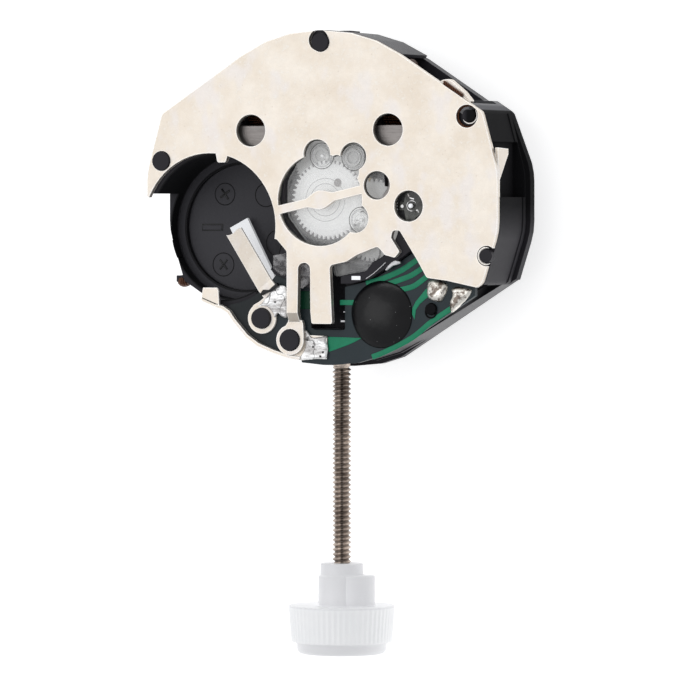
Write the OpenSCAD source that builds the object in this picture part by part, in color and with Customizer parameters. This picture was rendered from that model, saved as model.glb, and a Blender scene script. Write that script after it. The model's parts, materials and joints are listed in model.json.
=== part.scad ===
// Three-hand quartz watch movement with its setting stem and transport knob.
// Origin: on the hand axis, at the dial seat. +Z points to the back plate,
// the stem leaves along -Y. Sizes are millimetres.

/* [Case outline] */
// Half width of the moulded wall
half_w = 8.97; // [8.95:0.01:9.3]
// Wall's reach from the hand axis, away from the stem
reach_top = 7.9; // [7.8:0.05:8.3]
// Wall's reach from the hand axis, towards the stem
reach_stem = 7.6; // [7.5:0.05:8]
// How far the dial flange stands out from the wall
flange_out = 0.22; // [0.1:0.01:0.4]
// Height of the dial flange
flange_h = 0.5; // [0.3:0.05:0.7]

/* [Heights] */
// Dial seat to the top of the back plate
move_h = 3.9; // [3.9:0.05:4.5]
// Thickness of the back plate
plate_t = 0.28; // [0.2:0.01:0.35]
// Thickness of the circuit board
board_t = 0.3; // [0.2:0.05:0.3]
// How far the moulded posts stand out of the back plate
post_up = 0.1; // [0.05:0.01:0.2]

/* [Battery well] */
// Radius of the well for a 6.8 mm cell
well_r = 3.42; // [3.42:0.01:3.46]
// Height of the well's floor
well_floor = 0.4; // [0.3:0.05:0.45]
// Radius of the sunk floor disc
floor_r = 3; // [2.7:0.05:3.1]
// Radius of the cut-out in the back plate
cut_r = 3.43; // [3.4:0.01:3.5]

/* [Going train] */
// Distance from the hand axis to the fifth wheel
fifth_d = 2.08; // [2.06:0.01:2.1]
// Distance from the fifth wheel to the rotor
rotor_d = 2.24; // [2.22:0.01:2.24]
// Distance from the hand axis to the third wheel
third_d = 2.05; // [2.02:0.01:2.06]
// Thickness of the train wheels
wheel_t = 0.12; // [0.1:0.01:0.14]
// Radius of the rotor magnet
magnet_r = 0.68; // [0.6:0.01:0.72]

/* [Motion work] */
// Distance from the hand axis to the minute wheel
minute_d = 1.75; // [1.74:0.01:1.76]
// Radius of the hour hand seat
hour_r = 0.6; // [0.55:0.01:0.65]
// Radius of the minute hand seat
cannon_r = 0.35; // [0.33:0.01:0.36]
// Radius of the seconds hand seat
second_r = 0.1; // [0.08:0.01:0.11]
// Reach of the hour tube below the dial seat
hour_out = 1.05; // [0.8:0.05:1.2]
// Reach of the minute tube below the dial seat
cannon_out = 1.5; // [1.4:0.05:1.7]
// Reach of the seconds arbor below the dial seat
second_out = 1.95; // [1.85:0.05:2.3]

/* [Coil] */
// Radius of the winding
coil_r = 1.2; // [1:0.05:1.2]
// Half length of the winding
coil_half = 3.7; // [3:0.1:3.7]

/* [Stem] */
// Height of the stem's axis above the dial seat
stem_z = 1.4; // [1.4:0.01:1.45]
// Radius of the stem inside the movement
stem_r = 0.4; // [0.36:0.01:0.42]
// Radius of the threaded stretch
thread_r = 0.45; // [0.4:0.01:0.5]
// Stem's travel when it is pulled to set the hands
pull = 0.7; // [0.5:0.05:0.7]
// Distance from the hand axis to the knob's collar
knob_y = 17.05; // [14:0.05:20]

/* [Knob] */
// Radius of the knurled disc
knob_r = 2.47; // [2:0.01:3]
// Length of the knurled disc
knob_l = 1.8; // [1.2:0.1:3]
// Radius of the knob's collar
collar_r = 0.98; // [0.8:0.01:1.2]

/* [Hidden] */
$fn = 48;
eps = 0.01;
run = 0.03;
ridge_z = flange_h + 0.15;
foot_in = 0.23;
foot_step = 0.35;

// Tooth counts: seconds to rotor is 1 to 30, minute to seconds 1 to 60, hour to minute 1 to 12
rotor_n = 10;
fifth_n = 50;
fifth_pin_n = 8;
second_n = 48;
second_pin_n = 8;
third_n = 80;
third_pin_n = 10;
centre_n = 60;
cannon_n = 12;
minute_n = 36;
minute_pin_n = 10;
hour_n = 40;
setting_n = 22;

// Levels of the stack, from the dial seat up
plate_z = move_h - plate_t;
board_z = plate_z - 0.62;
board_top = board_z + board_t;
bridge_z = plate_z - 0.57;
bridge_t = 0.22;
boss_top = plate_z - 0.12;
web_z0 = 0.9;
web_z1 = 1.15;
keeper_t = 0.12;
keeper_z = 0.12;
recess_z = keeper_z + keeper_t;
hour_z = recess_z + 0.06;
cannon_z = 0.5;
minute_z = 0.62;
setting_z = 0.6;
setting_t = 0.26;
centre_z = web_z1 + 0.1;
fifth_z = 1.75;
third_z = 2.2;
second_z = bridge_z - 0.09 - wheel_t;
lever_z = 0.45;
lever_t = 0.2;
stator_t = 0.4;
core_t = 0.4;
core_w = 0.8;
coil_y = 5.3;
coil_z = 2;
pad_x = 5;

// Axes of the train in plan
fifth_a = -27;
fifth_p = fifth_d * [cos(fifth_a), sin(fifth_a)];
rotor_y = -0.3;
rotor_p = [fifth_p.x + sqrt(pow(rotor_d, 2) - pow(fifth_p.y - rotor_y, 2)), rotor_y];
third_p = third_d * [cos(94), sin(94)];
setting_p = [0, -2.05];
setting_m = 2 * minute_d / (cannon_n + minute_n);
minute_to_setting = setting_m * (minute_n + setting_n) / 2;
minute_y = (pow(minute_to_setting, 2) - pow(minute_d, 2) - pow(setting_p.y, 2))
    / (-2 * setting_p.y);
minute_p = [sqrt(pow(minute_d, 2) - pow(minute_y, 2)), minute_y];
arbor_r = 0.11;
pivot_r = 0.07;
post_r = 0.17;
pivot_air = 0.02;

// Battery well, its cut-out in the back plate and the low wall
well_p = [-5.45, -1.3];
cut_p = [-5.7, -1.24];
well_step = 0.25;
low_wall_z = 1.42;
block_y = 0.29;

// Posts of the moulding: place and radius
plate_posts = [[0.04, 7.33, 0.42], [-8.2, 1.83, 0.44], [7.55, 3.88, 0.3],
               [8.4, -2.58, 0.31]];
clip_post = [-1.655, -6.55, 0.49];
contact_post = [-3.2, -5.55, 0.47];
board_post = [5.4, -5.05, 0.26];
peep_holes = [[-3.55, 3.24, 0.75], [3.46, 3.25, 0.75], [4.5, -0.29, 0.72],
              [2.9, 0.67, 0.66]];

// Lobes of the central opening, over the bosses of the train bridge
lobes = [[-0.15, 2.13, 0.68], [1.7, 2, 0.66], [1.79, -0.85, 0.68], [1.55, 1.3, 0.45],
         [0.85, 1.75, 0.33]];
bosses = [[third_p.x, third_p.y], [1.48, 1.96], [fifth_p.x, fifth_p.y]];

// Setting work
clutch_r = 0.58;
clutch_y0 = -4;
clutch_y1 = -3.1;
clutch_shift = 0.4;
square = 0.42;
groove_r = 0.26;
groove_w = 0.34;
lever_l = 1.5;
pin_r = 0.13;
pin_y = -5.43;
pivot_y = pin_y - pull / 2;
pivot_x = -sqrt(pow(lever_l, 2) - pow(pull / 2, 2));
blade_a = 130;
feet_r = 0.375;
feet_x = 5.2;
feet_y = 4.6;
feet_depth = 1.2;
keeper_bore = 1.15;
keeper_holes = [[-1.95, -4.35], [2.8, 1], [1.6, -3.9]];

function xy(p) = [p.x, p.y];
function unit(v) = v / norm(v);
function polar(r, a) = r * [cos(a), sin(a)];

// Arc that rounds corner b, which lies between a and c
function arc(a, b, c, r) =
    r <= 0 ? [b] :
    let (u = unit(a - b), w = unit(c - b), half = acos(u * w) / 2,
         m = b + unit(u + w) * r / sin(half),
         s = b + u * r / tan(half) - m,
         e = b + w * r / tan(half) - m,
         a0 = atan2(s.y, s.x),
         turn = (atan2(e.y, e.x) - a0 + 540) % 360 - 180,
         n = max(2, ceil(abs(turn) / 15)))
    [for (i = [0:n]) m + polar(r, a0 + turn * i / n)];

// Outline from corners [x, y, radius]
function rounded(c) = let (n = len(c))
    [for (i = [0:n - 1])
        each arc(xy(c[(i + n - 1) % n]), xy(c[i]), xy(c[(i + 1) % n]), c[i][2])];

// Corners moved outwards by d, for an outline listed counter-clockwise
function grown(c, d) = let (n = len(c))
    [for (i = [0:n - 1])
        let (b = xy(c[i]), e = unit(b - xy(c[(i + n - 1) % n])),
             f = unit(xy(c[(i + 1) % n]) - b),
             p = [e.y, -e.x], q = [f.y, -f.x], s = b + d * (p + q) / (1 + p * q),
             out = e.x * f.y - e.y * f.x > 0 ? d : -d)
        [s.x, s.y, c[i][2] > 0 ? max(0.02, c[i][2] + out) : 0]];

// Outline of a wheel with straight-flanked teeth, the first one at angle phase
function gear(n, m, phase) = let (p = 360 / n, ro = m * (n / 2 + 0.95),
                                  ri = m * (n / 2 - 1.15))
    [for (i = [0:n - 1]) each
        [polar(ri, phase + p * (i - 0.3)), polar(ro, phase + p * (i - 0.11)),
         polar(ro, phase + p * (i + 0.11)), polar(ri, phase + p * (i + 0.3))]];

// Phase of a wheel of nb teeth that meshes with one of na teeth, seen from it at angle a
function mesh(na, phase, nb, a) = a + 180 + 180 / nb - (phase - a) * na / nb;

function angle_to(p, q) = atan2(q.y - p.y, q.x - p.x);

// Corners of the moulded wall
shoulder_x = half_w - 0.77;
shoulder_y = 4.05;
foot_y = -3.85;
top_x = 2.28;
wall = [[half_w, 1.25, 3], [shoulder_x, shoulder_y, 0.4], [top_x, reach_top, 7],
        [-top_x, reach_top, 7], [-shoulder_x, shoulder_y, 0.4], [-half_w, 1.25, 3],
        [-half_w, -1.45, 3], [-shoulder_x, foot_y, 0.4], [-top_x, -reach_stem, 7],
        [top_x, -reach_stem, 7], [shoulder_x, foot_y, 0.4], [half_w, -1.45, 3]];

// Lug at the plate's upper right edge, bent over into a loop, along the flank
flank_lug = [[0.85, 0.2, 0], [0.85, -0.05, 0.05], [1.35, -0.21, 0.5], [2.3, -0.32, 0.25],
             [2.62, -0.05, 0.2], [2.6, 0.25, 0], [2.44, 0.25, 0], [2.42, 0.02, 0.1],
             [2.2, -0.14, 0.15], [1.45, -0.04, 0.4], [1.15, 0.2, 0]];

arm_end = -5.24;
ring_z = board_top + 0.12;

// Lower edge of the back plate with its two arms, from the left tip to the right shoulder
plate_region = [[-9.5, 0.36, 0], [-5.5, -1.2, 0], [-2.2, -1.85, 0], [-1.7, -2.4, 0.2],
                [-1.7, arm_end, 0], [-1.14, arm_end, 0], [-1.11, -2.94, 0.29],
                [-0.5, -2.94, 0.29], [-0.48, -5.2, 0], [-0.42, -5.77, 0.1],
                [0.63, -5.77, 0.1], [0.5, -3.05, 0.2], [1.35, -2.87, 0.5],
                [1.9, -2.55, 0.5], [2.95, -2.16, 0.2], [3.3, -2.55, 0.1],
                [3.8, -2.68, 0.1], [4.05, -2.4, 0.1], [3.62, -1.75, 0.1],
                [3.7, -1.42, 0.14], [4.05, -1.42, 0.14], [4.95, -2.8, 0],
                [5.42, -3.6, 0.2], [6.4, -3.72, 1], [8.25, -4.1, 0.3],
                [8.75, -3, 0.3], [10, -2.2, 0], [10, 9, 0], [-10, 9, 0]];

// Outer line of the clip's spring, and what lies outside it
clip_line = [[-5.55, -5.06], [-5.22, -5.13], [-4.91, -5.32], [-4.65, -5.69],
             [-3.97, -6.44], [-3.35, -6.86], [-2.57, -7.17], [-1.8, -7.4], [-1.2, -7.48]];
outside_clip = concat(clip_line, [[-1.2, -9], [-9, -9], [-9, -5.06]]);

// The board, before it is trimmed by the wall's outline, moved a little, and by the well
board_move = [0.16, -0.22];
board_region = [[7.6, -5.4, 0], [7.55, -3.1, 0.2], [4.9, -2.15, 0.2], [3.8, -2.9, 0.3],
                [2.4, -3.74, 0.3], [1.02, -4.06, 0.05], [1.02, -6.05, 0.08],
                [-0.62, -6.05, 0.08], [-0.62, -4.2, 0.2], [-2.6, -3.5, 0.1],
                [-5.3, -5.2, 0.2], [-4.7, -6.4, 0.2], [-1, -9, 0], [5, -9, 0]];

bridge_region = [[-1.95, -0.75, 0.7], [-0.9, -2.05, 0.7], [0.35, -2.35, 0.3],
                 [0.45, -3.6, 0.2], [2.2, -3.3, 0.3], [2.75, -2.6, 0.3],
                 [2.75, -0.9, 0.3], [2.65, -0.2, 0.2], [3.15, 0.45, 0.3],
                 [3.1, 1.4, 0.4], [2.2, 2.62, 0.4], [-0.8, 2.66, 0.4],
                 [-1.95, 0.9, 1]];

// Stator: one limb under the peep holes, the other down the right, joined at the rotor
stator_left = [[-pad_x, 2.4, 0.2], [-2.6, 2.4, 0.1], [-2.4, 2.75, 0.1], [2.5, 2.75, 0.1],
               [2.68, 2.42, 0.1], [3.25, 2.42, 0.1], [3.25, 0.2, 0], [3.85, 0.2, 0],
               [3.85, 2.1, 0.1], [4.26, 2.35, 0.1], [4.26, 3.46, 0.1], [-4.3, 3.46, 0.1],
               [-4.2, coil_y + 0.35, 0.1], [-pad_x, coil_y + 0.35, 0.2]];
stator_right = [[4.2, 0, 0], [5, -0.2, 0.1], [5.35, 0.4, 0.3], [5.35, 4.6, 0.3],
                [pad_x, coil_y + 0.35, 0.2], [4.42, coil_y + 0.35, 0.1], [4.42, 2.25, 0.1],
                [4.2, 1.95, 0.1]];

keeper_region = [[-1.75, 1.6, 1.2], [-1.85, -2.6, 0.5], [-2.4, -4, 0.5],
                 [-2.4, -6.5, 0.5], [1.8, -6.5, 0.5], [2.15, -3.5, 0.5],
                 [3.35, -2.2, 0.8], [3.3, 1.5, 0.5], [1.7, 1.75, 0.6]];

lever_recess = [[-2.1, -6.35, 0.3], [1.5, -6.35, 0.3], [1.6, -4.6, 0.3],
                [-1.55, -4.6, 0.3], [-2.1, -5.1, 0.2]];

module slab(points, z0, z1) {
    translate([0, 0, z0]) linear_extrude(z1 - z0) polygon(points);
}

module peg(p, r, z0, z1) {
    translate([p.x, p.y, z0]) cylinder(r = r, h = z1 - z0);
}

// Cylinder along Y about the stem's axis, from y0 up to y1
module bar(r, y0, y1) {
    translate([0, y0, stem_z]) rotate([-90, 0, 0]) cylinder(r = r, h = y1 - y0);
}

module at(p) {
    translate([p.x, p.y, 0]) children();
}

// Arbor with a thinner pivot at each end
module arbor(p, z0, z1, low, high) {
    peg(p, arbor_r, z0 + low, z1 - high);
    peg(p, pivot_r, z0, z1);
}

module wheel(p, n, m, phase, z, t) {
    translate([p.x, p.y, z]) linear_extrude(t) polygon(gear(n, m, phase));
}

module board_shape(play) {
    difference() {
        intersection() {
            polygon(rounded(grown(board_region, play)));
            translate(board_move) polygon(rounded(grown(wall, play - 0.12)));
        }
        translate(well_p) circle(r = well_r + 0.25 - play);
        polygon(outside_clip);
    }
}

// Frame that runs along the wall's upper right flank, from its shoulder
module on_flank() {
    translate([shoulder_x, shoulder_y, 0])
        rotate([0, 0, angle_to([shoulder_x, shoulder_y], [top_x, reach_top])]) children();
}

// The same along the lower right flank
module on_low_flank() {
    translate([shoulder_x, foot_y, 0])
        rotate([0, 0, angle_to([shoulder_x, foot_y], [top_x, -reach_stem])]) children();
}

module windows() {
    // Open recesses in the wall towards the upper right and the right
    depth = 0.7;
    on_flank() translate([0.75, -1, ridge_z]) cube([4.2, 1 + depth, move_h]);
    translate([half_w - 0.6, 0.12, ridge_z]) cube([1, 2.55, move_h]);
}

module flush_rim() {
    // Towards the upper right the wall has neither flange nor ridge, and its foot is set in
    difference() {
        translate([0.6, 4, -eps]) cube([9, 6, move_h]);
        slab(rounded(grown(wall, -0.01)), -1, move_h + 1);
    }
    difference() {
        translate([0.6, 4.6, -eps]) cube([9, 6, ridge_z + eps]);
        slab(rounded(grown(wall, -foot_in)), -1, move_h + 1);
    }
    // The lower right flank is flush too, and low: beside the board its wall steps in
    on_low_flank() translate([-0.3, 0.02, -eps]) cube([7.8, 1, move_h]);
    intersection() {
        on_low_flank() translate([0, 1, 0]) rotate([90, 0, 0]) linear_extrude(1 + foot_step)
            polygon([[-0.6, 1.2], [2.4, 1.66], [5.2, 2.4], [6.2, board_z], [6.2, move_h],
                     [-0.6, move_h]]);
        translate([0, -9, 0]) cube([10, 5.05, 2 * move_h]);
    }
}

module dial_side_cuts() {
    slab(rounded(grown(keeper_region, 0.05)), -eps, recess_z);
    peg([0, 0], 1.62, 0, web_z0);
    peg(minute_p, 1.5, 0, web_z0);
    peg(setting_p, 0.98, 0, web_z0);
    slab(rounded(lever_recess), 0, web_z0 - 0.1);
    translate([-1.6, -4.7, 0]) cube([2.25, 1.6 + clutch_shift, web_z0 - 0.1]);
    peg([0, 0], cannon_r + 0.06, web_z0 - eps, web_z1 + eps);
    for (p = keeper_holes) peg(p, 0.18, 0, 0.95);
    for (s = [-1, 1]) peg([s * feet_x, feet_y], feet_r, -eps, feet_depth);
}

module stem_cuts() {
    bar(stem_r + 0.04, -reach_stem - 1, clutch_y0 - 0.1);
    bar(0.16, -2.5, -2.12);
    translate([-0.66, clutch_y0 - 0.15, 0.3])
        cube([1.32, -2.4 - clutch_y0 + 0.15, stem_z + 0.66 - 0.3]);
    translate([-0.3, pin_y - pull - 0.2, web_z0 - 0.2])
        cube([0.62, pull + 0.4, stem_z - web_z0 + 0.2]);
}

module train_cuts() {
    up = move_h;
    peg([0, 0], 1.98, web_z1, up);
    peg(third_p, 2.03, web_z1, up);
    peg(fifth_p, 2.07, web_z1, up);
    peg(rotor_p, 0.86, 1.5, up);
    slab(rounded(grown(bridge_region, 0.04)), bridge_z, up);
    for (p = [third_p, fifth_p]) peg(p, pivot_r + pivot_air, web_z0 + 0.02, web_z1 + eps);
    peg(rotor_p, pivot_r + pivot_air, 1.1, 1.5 + eps);
    translate([rotor_p.x - 0.45, rotor_p.y - 0.75, stator_top()]) cube([1.55, 1.5, 1]);
}

function stator_top() = board_z + stator_t;

module coil_cuts() {
    half = coil_half + 0.3;
    side = coil_r + 0.1;
    ramp = coil_z - core_t / 2 - 0.05;
    translate([-half, coil_y - side, coil_z - coil_r - 0.15])
        cube([2 * half, 2 * side, move_h]);
    for (s = [-1, 1]) {
        translate([s * pad_x / 2, coil_y - core_w / 2 - 0.05, board_z - core_t])
            translate([-pad_x / 2 - 0.05, 0, 0]) cube([pad_x + 0.1, core_w + 0.1, move_h]);
        translate([-half - 0.5, coil_y - core_w / 2 - 0.05, ramp])
            cube([2 * half + 1, core_w + 0.1, move_h]);
    }
    for (c = [stator_left, stator_right]) slab(rounded(grown(c, 0.04)), board_z, move_h);
    peg(rotor_p, 1.14, board_z, move_h);
    // Pockets beside the stator's limb, under the two upper peep holes
    for (s = [-1, 1]) translate([s * 3.45 - 0.8, 3.42, coil_z - 0.1]) cube([1.6, 0.7, move_h]);
}

module board_cuts() {
    translate([0, 0, board_z]) linear_extrude(move_h) board_shape(0.06);
    crystal_place() {
        cylinder(r = 0.7, h = 4.7);
        translate([0, -0.7, 0]) cube([2, 1.4, 4.7]);
    }
    // Nothing of the wall stands outside the clip
    slab(outside_clip, low_wall_z, move_h);
    // The clip's open strip of wall towards the lower left
    slab([[-1, -9], [-0.6, -6], [-2.6, -3.6], [-5.6, -4.4], [-9, -4.6], [-9, -9]],
         board_z, move_h);
    translate([0.9, -9, board_z]) cube([8, 5.1, move_h]);
    translate([-0.55, -5.98, 2.5]) cube([1.5, 3, 2]);
}

module well_cuts() {
    peg(well_p, well_r, well_floor + well_step, move_h + eps);
    peg(well_p, floor_r, well_floor, move_h);
    translate([-10, -5.3, low_wall_z]) cube([4.45, 5.3 + block_y, move_h]);
    slab([[-10, -8], [-4.3, -8], [-4.3, -6.35], [-4.9, -5.7], [-5.2, -5.3], [-10, -5.2]],
         low_wall_z, move_h);
    // Notch for the contact blade, through the wall
    translate([-3, -4, 1.9]) rotate([0, 0, 39]) translate([-0.75, -0.4, 0])
        cube([1.5, 1.3, move_h]);
}

module main_plate() {
    color([0.16, 0.16, 0.18]) {
        difference() {
            union() {
                slab(rounded(wall), 0, plate_z);
                slab(rounded(grown(wall, flange_out)), 0, flange_h);
                slab(rounded(grown(wall, 0.05)), ridge_z, ridge_z + 0.3);
            }
            windows();
            flush_rim();
            dial_side_cuts();
            stem_cuts();
            train_cuts();
            coil_cuts();
            board_cuts();
            well_cuts();
        }
        for (p = plate_posts) peg(p, p[2], plate_z - eps, move_h + post_up);
        translate([-shoulder_x - 0.5, foot_y - 0.05, flange_h]) cube([0.7, 0.3, 0.75]);
        peg(clip_post, clip_post[2], board_z - 0.5, plate_z + 0.12);
        peg(contact_post, contact_post[2], board_z - 0.5, board_top + 0.3);
        peg(board_post, board_post[2], board_z - 0.5, board_top + 0.15);
        peg(minute_p, post_r, recess_z + 0.02, web_z0 + eps);
        peg(setting_p, post_r, recess_z + 0.02, web_z0 + eps);
        peg([pivot_x, pivot_y], post_r, recess_z + 0.02, web_z0);
    }
}

module opening() {
    difference() {
        union() {
            circle(r = 2.15);
            for (p = lobes) translate(xy(p)) circle(r = p[2]);
        }
        rotate(12.6) {
            translate([-4, -0.2]) square([8, 0.4]);
            polygon([[-0.72, 0.19], [-0.22, 0.4], [0.22, 0.4], [0.72, 0.19], [0.72, -0.19],
                     [0.22, -0.4], [-0.22, -0.4], [-0.72, -0.19]]);
        }
        circle(r = 0.44);
    }
}

module back_plate() {
    color([0.93, 0.88, 0.82]) {
        translate([0, 0, plate_z]) linear_extrude(plate_t) difference() {
            intersection() {
                polygon(rounded(grown(wall, -0.02)));
                polygon(rounded(plate_region));
            }
            difference() {
                translate(cut_p) circle(r = cut_r);
                polygon(rounded([[-5.45, 2.6, 0], [-5.28, 1.75, 0.12], [-4.85, 1.75, 0.12],
                                 [-4.62, 2.6, 0]]));
            }
            opening();
            for (p = peep_holes) translate(xy(p)) circle(r = p[2]);
            for (p = [plate_posts[0], plate_posts[1]])
                translate(xy(p)) circle(r = p[2] + run);
            translate([-0.06, 7.43]) circle(r = 0.5);
            translate(xy(plate_posts[2])) circle(r = 0.42);
            translate([7.42, 3.84]) circle(r = 0.53);
            translate(xy(plate_posts[3])) circle(r = 0.47);
        }
        // Lugs bent down into the windows of the wall
        on_flank() slab(rounded(flank_lug), plate_z - 0.4, plate_z + eps);
        translate([half_w - 0.25, 0, plate_z + eps]) rotate([0, 90, 0])
            linear_extrude(0.16) polygon([[0, 0.7], [0, 2.4], [1.2, 2.35], [1.2, 2.1]]);
        earth_ring();
    }
}

// End of the left arm, stepped down onto the clip's post
module earth_ring() {
    t = plate_z - ring_z + eps;
    slope_y = -5.7;
    difference() {
        union() {
            peg(clip_post, 0.7, ring_z, ring_z + t);
            slab(rounded([[-2.25, -6.4, 0.1], [-1.75, slope_y, 0], [-1.74, -5.62, 0],
                          [-1.05, -5.62, 0], [-0.98, -5.78, 0.1], [-0.95, -6.5, 0.1]]),
                 ring_z, ring_z + t);
            translate([-1.7, 0, 0]) rotate([90, 0, 90]) linear_extrude(0.56)
                polygon([[slope_y, ring_z], [arm_end, plate_z], [arm_end + eps, plate_z],
                         [arm_end + eps, move_h], [arm_end - 0.03, move_h],
                         [slope_y, ring_z + t]]);
        }
        peg(clip_post, clip_post[2] + run, 0, move_h);
    }
}

module train_bridge() {
    color([0.82, 0.84, 0.85, 0.6]) difference() {
        union() {
            slab(rounded(bridge_region), bridge_z, bridge_z + bridge_t);
            for (p = bosses) {
                peg(p, 0.6, bridge_z, bridge_z + bridge_t + 0.08);
                peg(p, 0.42, bridge_z, boss_top);
            }
            peg([0, 0], 0.5, bridge_z, bridge_z + bridge_t + 0.1);
        }
        peg(rotor_p, 1.18, 0, move_h);
        for (p = [third_p, fifth_p]) {
            peg(p, pivot_r + pivot_air, bridge_z - eps, boss_top - 0.12);
            peg(p, 0.26, boss_top - 0.06, boss_top + eps);
        }
        peg(bosses[1], 0.28, boss_top - 0.18, boss_top + eps);
        peg([0, 0], second_r + pivot_air, bridge_z - eps, bridge_z + bridge_t);
    }
}

module circuit_board() {
    color([0.2, 0.24, 0.27]) difference() {
        translate([0, 0, board_z]) linear_extrude(board_t) board_shape(0);
        for (p = [clip_post, contact_post, board_post])
            peg(p, p[2] + run, 0, move_h);
    }
}

module dome(p, r, h, z) {
    // Cap of a flattened sphere
    translate([p.x, p.y, z]) rotate_extrude()
        polygon([[0, 0], for (a = [0:9:90]) [r * cos(a), h * sin(a)]]);
}

module chip_blob() {
    color([0.1, 0.1, 0.11]) dome([2.9, -5.3], 1.55, 0.52, board_top);
}

module solder_joints() {
    color([0.8, 0.8, 0.82]) {
        dome([5.75, -4.05], 0.4, 0.24, board_top);
        dome([6.75, -4.32], 0.42, 0.24, board_top);
        dome([-0.3, -6.9], 0.32, 0.2, board_top + 0.12);
        dome([-2.2, -4.75], 0.42, 0.2, board_top + 0.12);
    }
}

module crystal_place() {
    translate([2.4, -5.55, board_z - 0.72]) rotate([0, 0, 30]) rotate([0, 90, 0])
        rotate([0, 0, 180]) children();
}

module quartz_crystal() {
    color([0.75, 0.75, 0.77]) crystal_place() {
        translate([0, 0, 0.35]) cylinder(r = 0.65, h = 4.2);
        translate([0, 0, 0.1]) cylinder(r = 0.5, h = 0.26);
    }
}

module coil_winding() {
    // The wound body between two flanges, with the core's slot through it
    color([0.45, 0.25, 0.14]) difference() {
        translate([-coil_half, coil_y, coil_z]) rotate([0, 90, 0]) union() {
            cylinder(r = coil_r - 0.06, h = 2 * coil_half);
            for (i = [0:11]) translate([0, 0, 0.2 + i * (2 * coil_half - 0.85) / 11])
                cylinder(r = coil_r, h = 0.45);
            for (z = [-0.15, 2 * coil_half]) translate([0, 0, z])
                cylinder(r = coil_r + 0.06, h = 0.15);
        }
        translate([-pad_x, coil_y - core_w / 2, coil_z - core_t / 2])
            cube([2 * pad_x, core_w, core_t]);
    }
}

module coil_core() {
    // Flat bar that steps up to the stator at both ends
    low = coil_z - core_t / 2;
    step = board_z - core_t - low;
    x = coil_half + 0.17;
    color([0.62, 0.62, 0.64]) translate([0, coil_y + core_w / 2, 0]) rotate([90, 0, 0])
        linear_extrude(core_w)
            polygon([[-x - 0.15, low], [x + 0.15, low], [x + 0.55, low + step],
                     [pad_x, low + step], [pad_x, board_z], [x + 0.35, board_z],
                     [x, low + core_t], [-x, low + core_t], [-x - 0.35, board_z],
                     [-pad_x, board_z], [-pad_x, low + step], [-x - 0.55, low + step]]);
}

module stator() {
    color([0.72, 0.72, 0.73]) difference() {
        union() {
            for (c = [stator_left, stator_right]) slab(rounded(c), board_z, stator_top());
            peg(rotor_p, 1.1, board_z, stator_top());
        }
        peg(rotor_p, magnet_r + 0.12, 0, move_h);
    }
}

module rotor_cap() {
    x = rotor_p.x;
    y = rotor_p.y;
    z = stator_top();
    color([0.6, 0.6, 0.6]) difference() {
        union() {
            slab(rounded([[x + 0.22, y - 0.72, 0.1], [x + 0.6, y - 0.68, 0.2],
                          [x + 0.72, y - 0.5, 0.1], [x + 1.05, y - 0.3, 0.1],
                          [x + 1.05, y + 0.7, 0.2], [x + 0.2, y + 0.7, 0.1],
                          [x + 0.06, y, 1]]), z, z + 0.1);
            // Tongue over the rotor's upper pivot
            peg(rotor_p, 0.2, z, z + 0.1);
            peg([x + 0.48, y + 0.02], 0.13, z, plate_z - 0.03);
            peg([x + 0.66, y - 0.2], 0.07, z, z + 0.14);
        }
        peg(rotor_p, pivot_r + pivot_air, 0, move_h);
    }
}

module rotor_magnet() {
    color([0.35, 0.35, 0.37]) difference() {
        peg(rotor_p, magnet_r, board_z - 0.05, stator_top() - 0.04);
        peg(rotor_p, arbor_r, 0, move_h);
    }
}

rotor_phase = mesh(fifth_n, 0, rotor_n, angle_to(fifth_p, rotor_p));

module rotor_pinion() {
    color([0.85, 0.85, 0.83]) {
        wheel(rotor_p, rotor_n, 2 * rotor_d / (fifth_n + rotor_n), rotor_phase,
              fifth_z - 0.14, 0.4);
        arbor(rotor_p, 1.2, stator_top() + 0.09, 0.35, 0.12);
    }
}

module fifth_wheel() {
    pin_phase = mesh(second_n, 0, fifth_pin_n, fifth_a);
    color([0.87, 0.87, 0.85]) {
        wheel(fifth_p, fifth_n, 2 * rotor_d / (fifth_n + rotor_n), 0, fifth_z, wheel_t);
        wheel(fifth_p, fifth_pin_n, 2 * fifth_d / (second_n + fifth_pin_n), pin_phase,
              second_z - 0.08, 0.27);
        arbor(fifth_p, web_z0 + 0.06, boss_top - 0.14, 0.22 + web_z1 - web_z0,
              boss_top - 0.14 - bridge_z + 0.02);
        peg(fifth_p, 0.25, fifth_z - 0.1, fifth_z + wheel_t + 0.1);
    }
}

module seconds_wheel() {
    color([0.9, 0.9, 0.88]) difference() {
        union() {
            wheel([0, 0], second_n, 2 * fifth_d / (second_n + fifth_pin_n), 0,
                  second_z, wheel_t);
            wheel([0, 0], second_pin_n, 2 * third_d / (third_n + second_pin_n), 0,
                  third_z - 0.12, 0.4);
            peg([0, 0], 0.3, second_z - 0.12, second_z + wheel_t + 0.03);
            peg([0, 0], 0.17, third_z + 0.25, second_z);
        }
        peg([0, 0], second_r, 0, move_h);
        peg([0.49, 0.8], 0.2, second_z - eps, second_z + 1);
    }
}

module seconds_arbor() {
    color([0.75, 0.75, 0.76]) peg([0, 0], second_r, -second_out, bridge_z + bridge_t - 0.04);
}

module third_wheel() {
    phase = mesh(second_pin_n, 0, third_n, angle_to([0, 0], third_p));
    color([0.87, 0.87, 0.85]) {
        wheel(third_p, third_n, 2 * third_d / (third_n + second_pin_n), phase,
              third_z, wheel_t);
        wheel(third_p, third_pin_n, 2 * third_d / (centre_n + third_pin_n), 0,
              centre_z - 0.03, 0.4);
        arbor(third_p, web_z0 + 0.06, boss_top - 0.14, 0.22 + web_z1 - web_z0,
              boss_top - 0.14 - bridge_z + 0.02);
        peg(third_p, 0.25, third_z - 0.1, third_z + wheel_t + 0.1);
    }
}

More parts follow.
